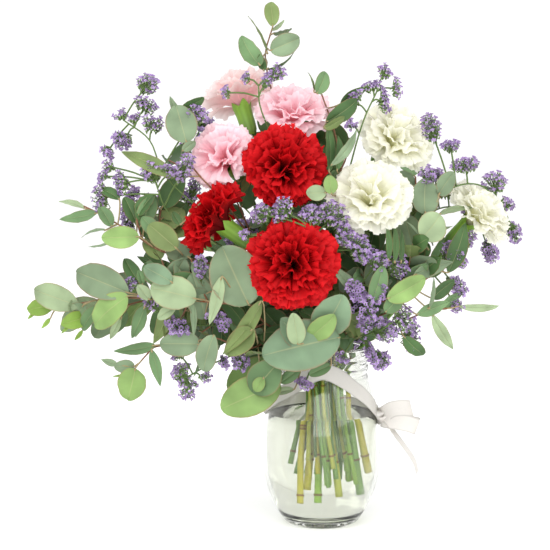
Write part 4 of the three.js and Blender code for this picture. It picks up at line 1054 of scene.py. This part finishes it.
def add_leaf(shape, rng, joint, base, tip, width, roll, tone):
    """A curved blade from base to tip on a thin stalk that leaves its stem at joint."""
    along = tip - base
    length = along.length
    along.normalize()
    face = VIEWER - along * VIEWER.dot(along)
    if face.length < 0.1:
        face = UP - along * along.z
    face.normalize()
    face.rotate(Matrix.Rotation(radians(roll + rng.uniform(*LEAF_ROLL)), 3, along))
    side = along.cross(face)
    slender = width / length < SLENDER
    width *= 1 if slender else LEAF_BREADTH
    fullness, widest = POINTED if slender else ROUND
    arch = length * rng.uniform(*BLADE_ARCH) * rng.choice((-1, 1, 1))
    fold = rng.uniform(*BLADE_FOLD)
    wave = width * rng.uniform(*BLADE_WAVE)
    phase = rng.uniform(0, tau)
    colour = scaled(LEAF_COLOURS[tone], rng.uniform(*LEAF_TONE))
    rows = []
    for i in range(BLADE_ROWS + 1):
        s = 0.5 - 0.5 * cos(pi * i / BLADE_ROWS)
        half = width / 2 * sin(pi * min(1, s ** widest)) ** fullness
        if i == 0:
            half = BLADE_FOOT
        if i == BLADE_ROWS:
            half = BLADE_TIP
        lift = 4 * s * (1 - s) * arch
        row = []
        for share, margin, rib in BLADE_ACROSS:
            ripple = wave * abs(share) * sin(3.2 * tau * s + phase + share)
            rise = lift + fold * abs(share) * half + ripple - (0 if share else RIB_DEPTH)
            spot = base + along * (s * length) + side * (share * half) + face * rise
            mottled = scaled(colour, 1 + 0.3 * noise.noise(spot * 0.08))
            row.append((spot, mixed(mixed(mottled, LEAF_MARGIN, margin * 0.7), LEAF_MIDRIB, rib * 0.7)))
        rows.append(row)
    shape.grid(rows)
    gap = base - joint
    if gap.length > 0.8:
        sag = joint.lerp(base, 0.5) + gap.cross(face).normalized() * STALK_SAG * gap.length
        stalk = curve_through([joint, sag, base, base + along * length * 0.08], 3)
        shape.rod(stalk, STALK_RADIUS, TWIG_SIDES, mixed(WOOD, LEAF_MIDRIB, 0.5))


def near_bloom(place, margin=3):
    """Whether a place lies in one of the blooms, less than margin from it, or in front of it."""
    for at, radius, _, _ in CARNATIONS.values():
        away = place - Vector(at)
        in_front = away.y < 0 and hypot(away.x, away.z) < radius + margin
        if in_front or away.length < radius + margin:
            return True
    return False


def hides_head(place):
    """Whether a place lies in front of one of the statice heads that the viewer sees."""
    for middle, width, height in (head for heads in HEADS.values() for head in heads):
        away = place - Vector(middle)
        if away.y < 4 and hypot(away.x, away.z) < 0.6 * max(width, height):
            return True
    return False


def inside_bouquet(place):
    away = place - INNER_MIDDLE
    across, upright = away.x / INNER_REACH[0], away.z / INNER_REACH[1]
    return across ** 2 + upright ** 2 < 1 and INNER_FRONT < place.y < INNER_BACK


def add_twig(shape, rng, start, way):
    """A side shoot from a stem with a pair of leaves at each of its nodes."""
    bend = Vector((rng.uniform(-0.3, 0.3), rng.uniform(-0.3, 0.3), 0.35))
    points = [start]
    for _ in range(TWIG_STEPS):
        ahead = points[-1] + way * TWIG_STEP
        if near_bloom(ahead, 1) or not inside_bouquet(ahead):
            break
        points.append(ahead)
        way = (way + bend * 0.3).normalized()
    if len(points) < 3:
        return
    leafy = 0
    for node, (here, after) in enumerate(zip(points, points[1:])):
        along = (after - here).normalized()
        across = random_across(rng, along)
        for sign in (-1, 1):
            out = (across * sign + along * rng.uniform(*TWIG_RAKE) + UP * 0.2).normalized()
            length = rng.uniform(*TWIG_LEAF)
            base = after + out * 2
            tip = base + out * length
            spots = [base.lerp(tip, share) for share in (0.1, 0.5, 1)]
            blocked = any(near_bloom(spot) or hides_head(spot) for spot in spots)
            if blocked or not inside_bouquet(tip):
                continue
            width = length * rng.uniform(*TWIG_BREADTH)
            # the leaf's tone comes from the inner tones, mostly dark as painted shade
            add_leaf(shape, rng, after, base, tip, width, rng.uniform(*TWIG_ROLL), rng.choice(INNER_LEAF_AND_SHADE_TONES))
            leafy = node + 2
    if leafy:
        shape.rod(points[:leafy], TWIG_RADIUS, TWIG_SIDES, WOOD)


def add_inner_leaves(shape, rng, path):
    """Leafy twigs on the part of a stem that runs hidden inside the bouquet, their leaves mostly dark as
    painted shade.
    """
    travelled = 0.0
    for here, after in zip(path, path[1:]):
        travelled += (after - here).length
        if travelled < INNER_SPACING or not inside_bouquet(here):
            continue
        travelled = 0.0
        along = (after - here).normalized()
        add_twig(shape, rng, here, (random_across(rng, along) + along * 0.7).normalized())


def eucalyptus_sprig(name, stem, leaves):
    node = "eucalyptus_" + name
    rng = random.Random(node)
    shape = Shape()
    path = stem_path(node, stem)
    add_stem(shape, path, STEM_FEET[len(name) % len(STEM_FEET)], WOOD, **STEMS["eucalyptus"])
    for base, tip, width, roll, tone in leaves:
        base, tip = Vector(base), Vector(tip)
        joint = path[nearest_on(path, base - (tip - base) * 0.3)]
        add_leaf(shape, rng, joint, base, tip, width, roll, tone)
    add_inner_leaves(shape, rng, path)
    return shown(shape.build("sprig_" + name, materials["eucalyptus leaves"]), "eucalyptus", node)


# ---- statice ----

def add_floret(shape, rng, place, axis, size):
    """A small papery funnel with five lobes on a green sheath."""
    tone = rng.uniform(*FLORET_TONE)
    spin = rng.uniform(0, tau)
    count = FLORET_LOBES * 2
    turns = [spin + tau * k / count for k in range(count)]
    rows = []
    for radius, height, colour, brightness in FLORET_RINGS:
        shade = scaled(scaled(colour, brightness), tone)
        rows.append([(around(radius, angle, height) * size, shade) for angle in turns])
    shade = scaled(mixed(STATICE_PURPLE, STATICE_PALE, 0.25), tone)
    rim = []
    for reach, angle in zip([NOTCH_REACH, LOBE_REACH] * FLORET_LOBES, turns):
        rim.append((around(reach, angle, rng.uniform(*LOBE_HEIGHT)) * size, shade))
    rows.append(rim)
    shape.turned_grid(rows, place, facing(axis), closed=True)


def add_head(shape, rng, joint, middle, width, height):
    """A branchlet from the stem and a one-sided cluster of florets round middle."""
    along = (middle - joint).normalized()
    side = Vector((0, 1, 0)).cross(along).normalized()
    front = along.cross(side)
    fork = middle - along * height * 0.45
    branch = curve_through([joint, joint.lerp(fork, 0.5) + UP * 1.5, fork], 3)
    shape.rod(branch, TWIG_RADIUS, TWIG_SIDES, STATICE_GREEN)
    fewest, most = HEAD_FLORETS
    count = int(min(most, max(fewest, width * height / FLORET_AREA)))
    for k in range(count):
        share = sqrt((k + 0.5) / count)
        angle = k * GOLDEN_ANGLE
        u, v = share * cos(angle), share * sin(angle)
        depth = rng.uniform(-0.5, 0.5) * min(width, height)
        spot = middle + side * (u * width * 0.48) + along * (v * height * 0.45) + front * depth * 0.7
        lean = along * 0.9 + side * (u * 0.9) + front * (depth / max(width, 1) * 1.4)
        axis = lean + Vector((rng.uniform(-0.3, 0.3), -0.3, rng.uniform(0.2, 0.8)))
        add_floret(shape, rng, spot, axis, rng.uniform(*FLORET_SIZE))
        stalk = curve_through([fork, fork.lerp(spot, 0.5) + UP * 0.6, spot - axis.normalized() * 2.6], 2)
        shape.rod(stalk, FLORET_STALK, FLORET_STALK_SIDES, STATICE_GREEN)


def statice_sprig(name, stem, heads):
    node = "statice_" + name
    rng = random.Random(node)
    shape = Shape()
    path = stem_path(node, stem)
    add_stem(shape, path, scaled(STATICE_GREEN, 1.6), STATICE_GREEN, **STEMS["statice"])
    for middle, width, height in heads:
        middle = Vector(middle)
        joint = path[nearest_on(path, middle - UP * height * 0.8)]
        add_head(shape, rng, joint, middle, width, height)
    return shown(shape.build("sprig_statice_" + name, materials["statice"]), "statice", node)


# ---- sprigs at the back ----

def at_back(point, degrees):
    """A point of a sprig in front, mirrored to the back, turned about the jar and drawn in."""
    p = Vector((point[0], -point[1], point[2]))
    p.rotate(Matrix.Rotation(radians(degrees), 3, "Z"))
    return tuple(BACK_SCALE_CENTRE + (p - BACK_SCALE_CENTRE) * BACK_SCALE)


def moved_back(row, degrees):
    return tuple(at_back(value, degrees) if isinstance(value, tuple) else value for value in row)


def all_sprigs(stems, parts, turns):
    """(name, stem, parts) of each sprig in front and of each one at the back."""
    for name, stem in stems.items():
        yield name, stem, parts[name]
    for name, degrees in turns.items():
        stem = [at_back(p, degrees) for p in stems[name]]
        yield name + "_back", stem, [moved_back(row, degrees) for row in parts[name]]


# ---- floor, light and camera ----

def aim(thing, place, way):
    thing.location = place
    thing.rotation_mode = "QUATERNION"
    thing.rotation_quaternion = way.to_track_quat("-Z", "Y")


def add_floor():
    mesh = bpy.data.meshes.new("floor")
    corners = [(x * FLOOR_REACH, y * FLOOR_REACH, 0) for x, y in ((-1, -1), (1, -1), (1, 1), (-1, 1))]
    mesh.from_pydata(corners, [], [(0, 1, 2, 3)])
    material, _, _, surface = new_material("pale floor")
    set_inputs(surface, {"Base Color": (*FLOOR_COLOUR, 1), "Roughness": 0.9})
    mesh.materials.append(material)
    in_scene("floor", mesh)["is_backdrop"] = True


def add_light(name, place, power, size):
    data = bpy.data.lights.new(name, "AREA")
    data.energy = power
    data.size = size
    aim(in_scene(name, data), place, Vector(LIGHT_TARGET) - Vector(place))


def add_camera():
    back = Vector((0, -cos(CAMERA_PITCH), sin(CAMERA_PITCH)))
    data = bpy.data.cameras.new("camera")
    data.lens = LENS
    data.sensor_width = SENSOR
    camera = in_scene("camera", data)
    aim(camera, (CAMERA_TARGET + back * CAMERA_DISTANCE) * MM, -back)
    bpy.context.scene.camera = camera


def studio():
    add_camera()
    add_floor()
    world = bpy.data.worlds.new("studio")
    world.use_nodes = True
    backdrop = {"Color": (*COLOURLESS, 1), "Strength": BACKDROP_STRENGTH}
    set_inputs(world.node_tree.nodes["Background"], backdrop)
    bpy.context.scene.world = world
    for name, (place, power, size) in LIGHTS.items():
        add_light(name, place, power, size)
    bpy.context.scene.view_settings.view_transform = "Standard"


# ---- the whole bouquet ----

studio()
glass_jar()
water()
ribbon()
for flower, (middle, radius, faces, palette) in CARNATIONS.items():
    carnation_bloom(flower, middle, radius, faces, palette)
    carnation_stem(flower, middle, radius, faces)
for sprig, stem, leaves in all_sprigs(EUCALYPTUS_STEMS, LEAVES, BACK_EUCALYPTUS):
    eucalyptus_sprig(sprig, stem, leaves)
for sprig, stem, heads in all_sprigs(STATICE_STEMS, HEADS, BACK_STATICE):
    statice_sprig(sprig, stem, heads)

boxes = {"cad": cad_box, "visual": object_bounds()}
{name: [list(corner) for corner in box] for name, box in boxes.items()}
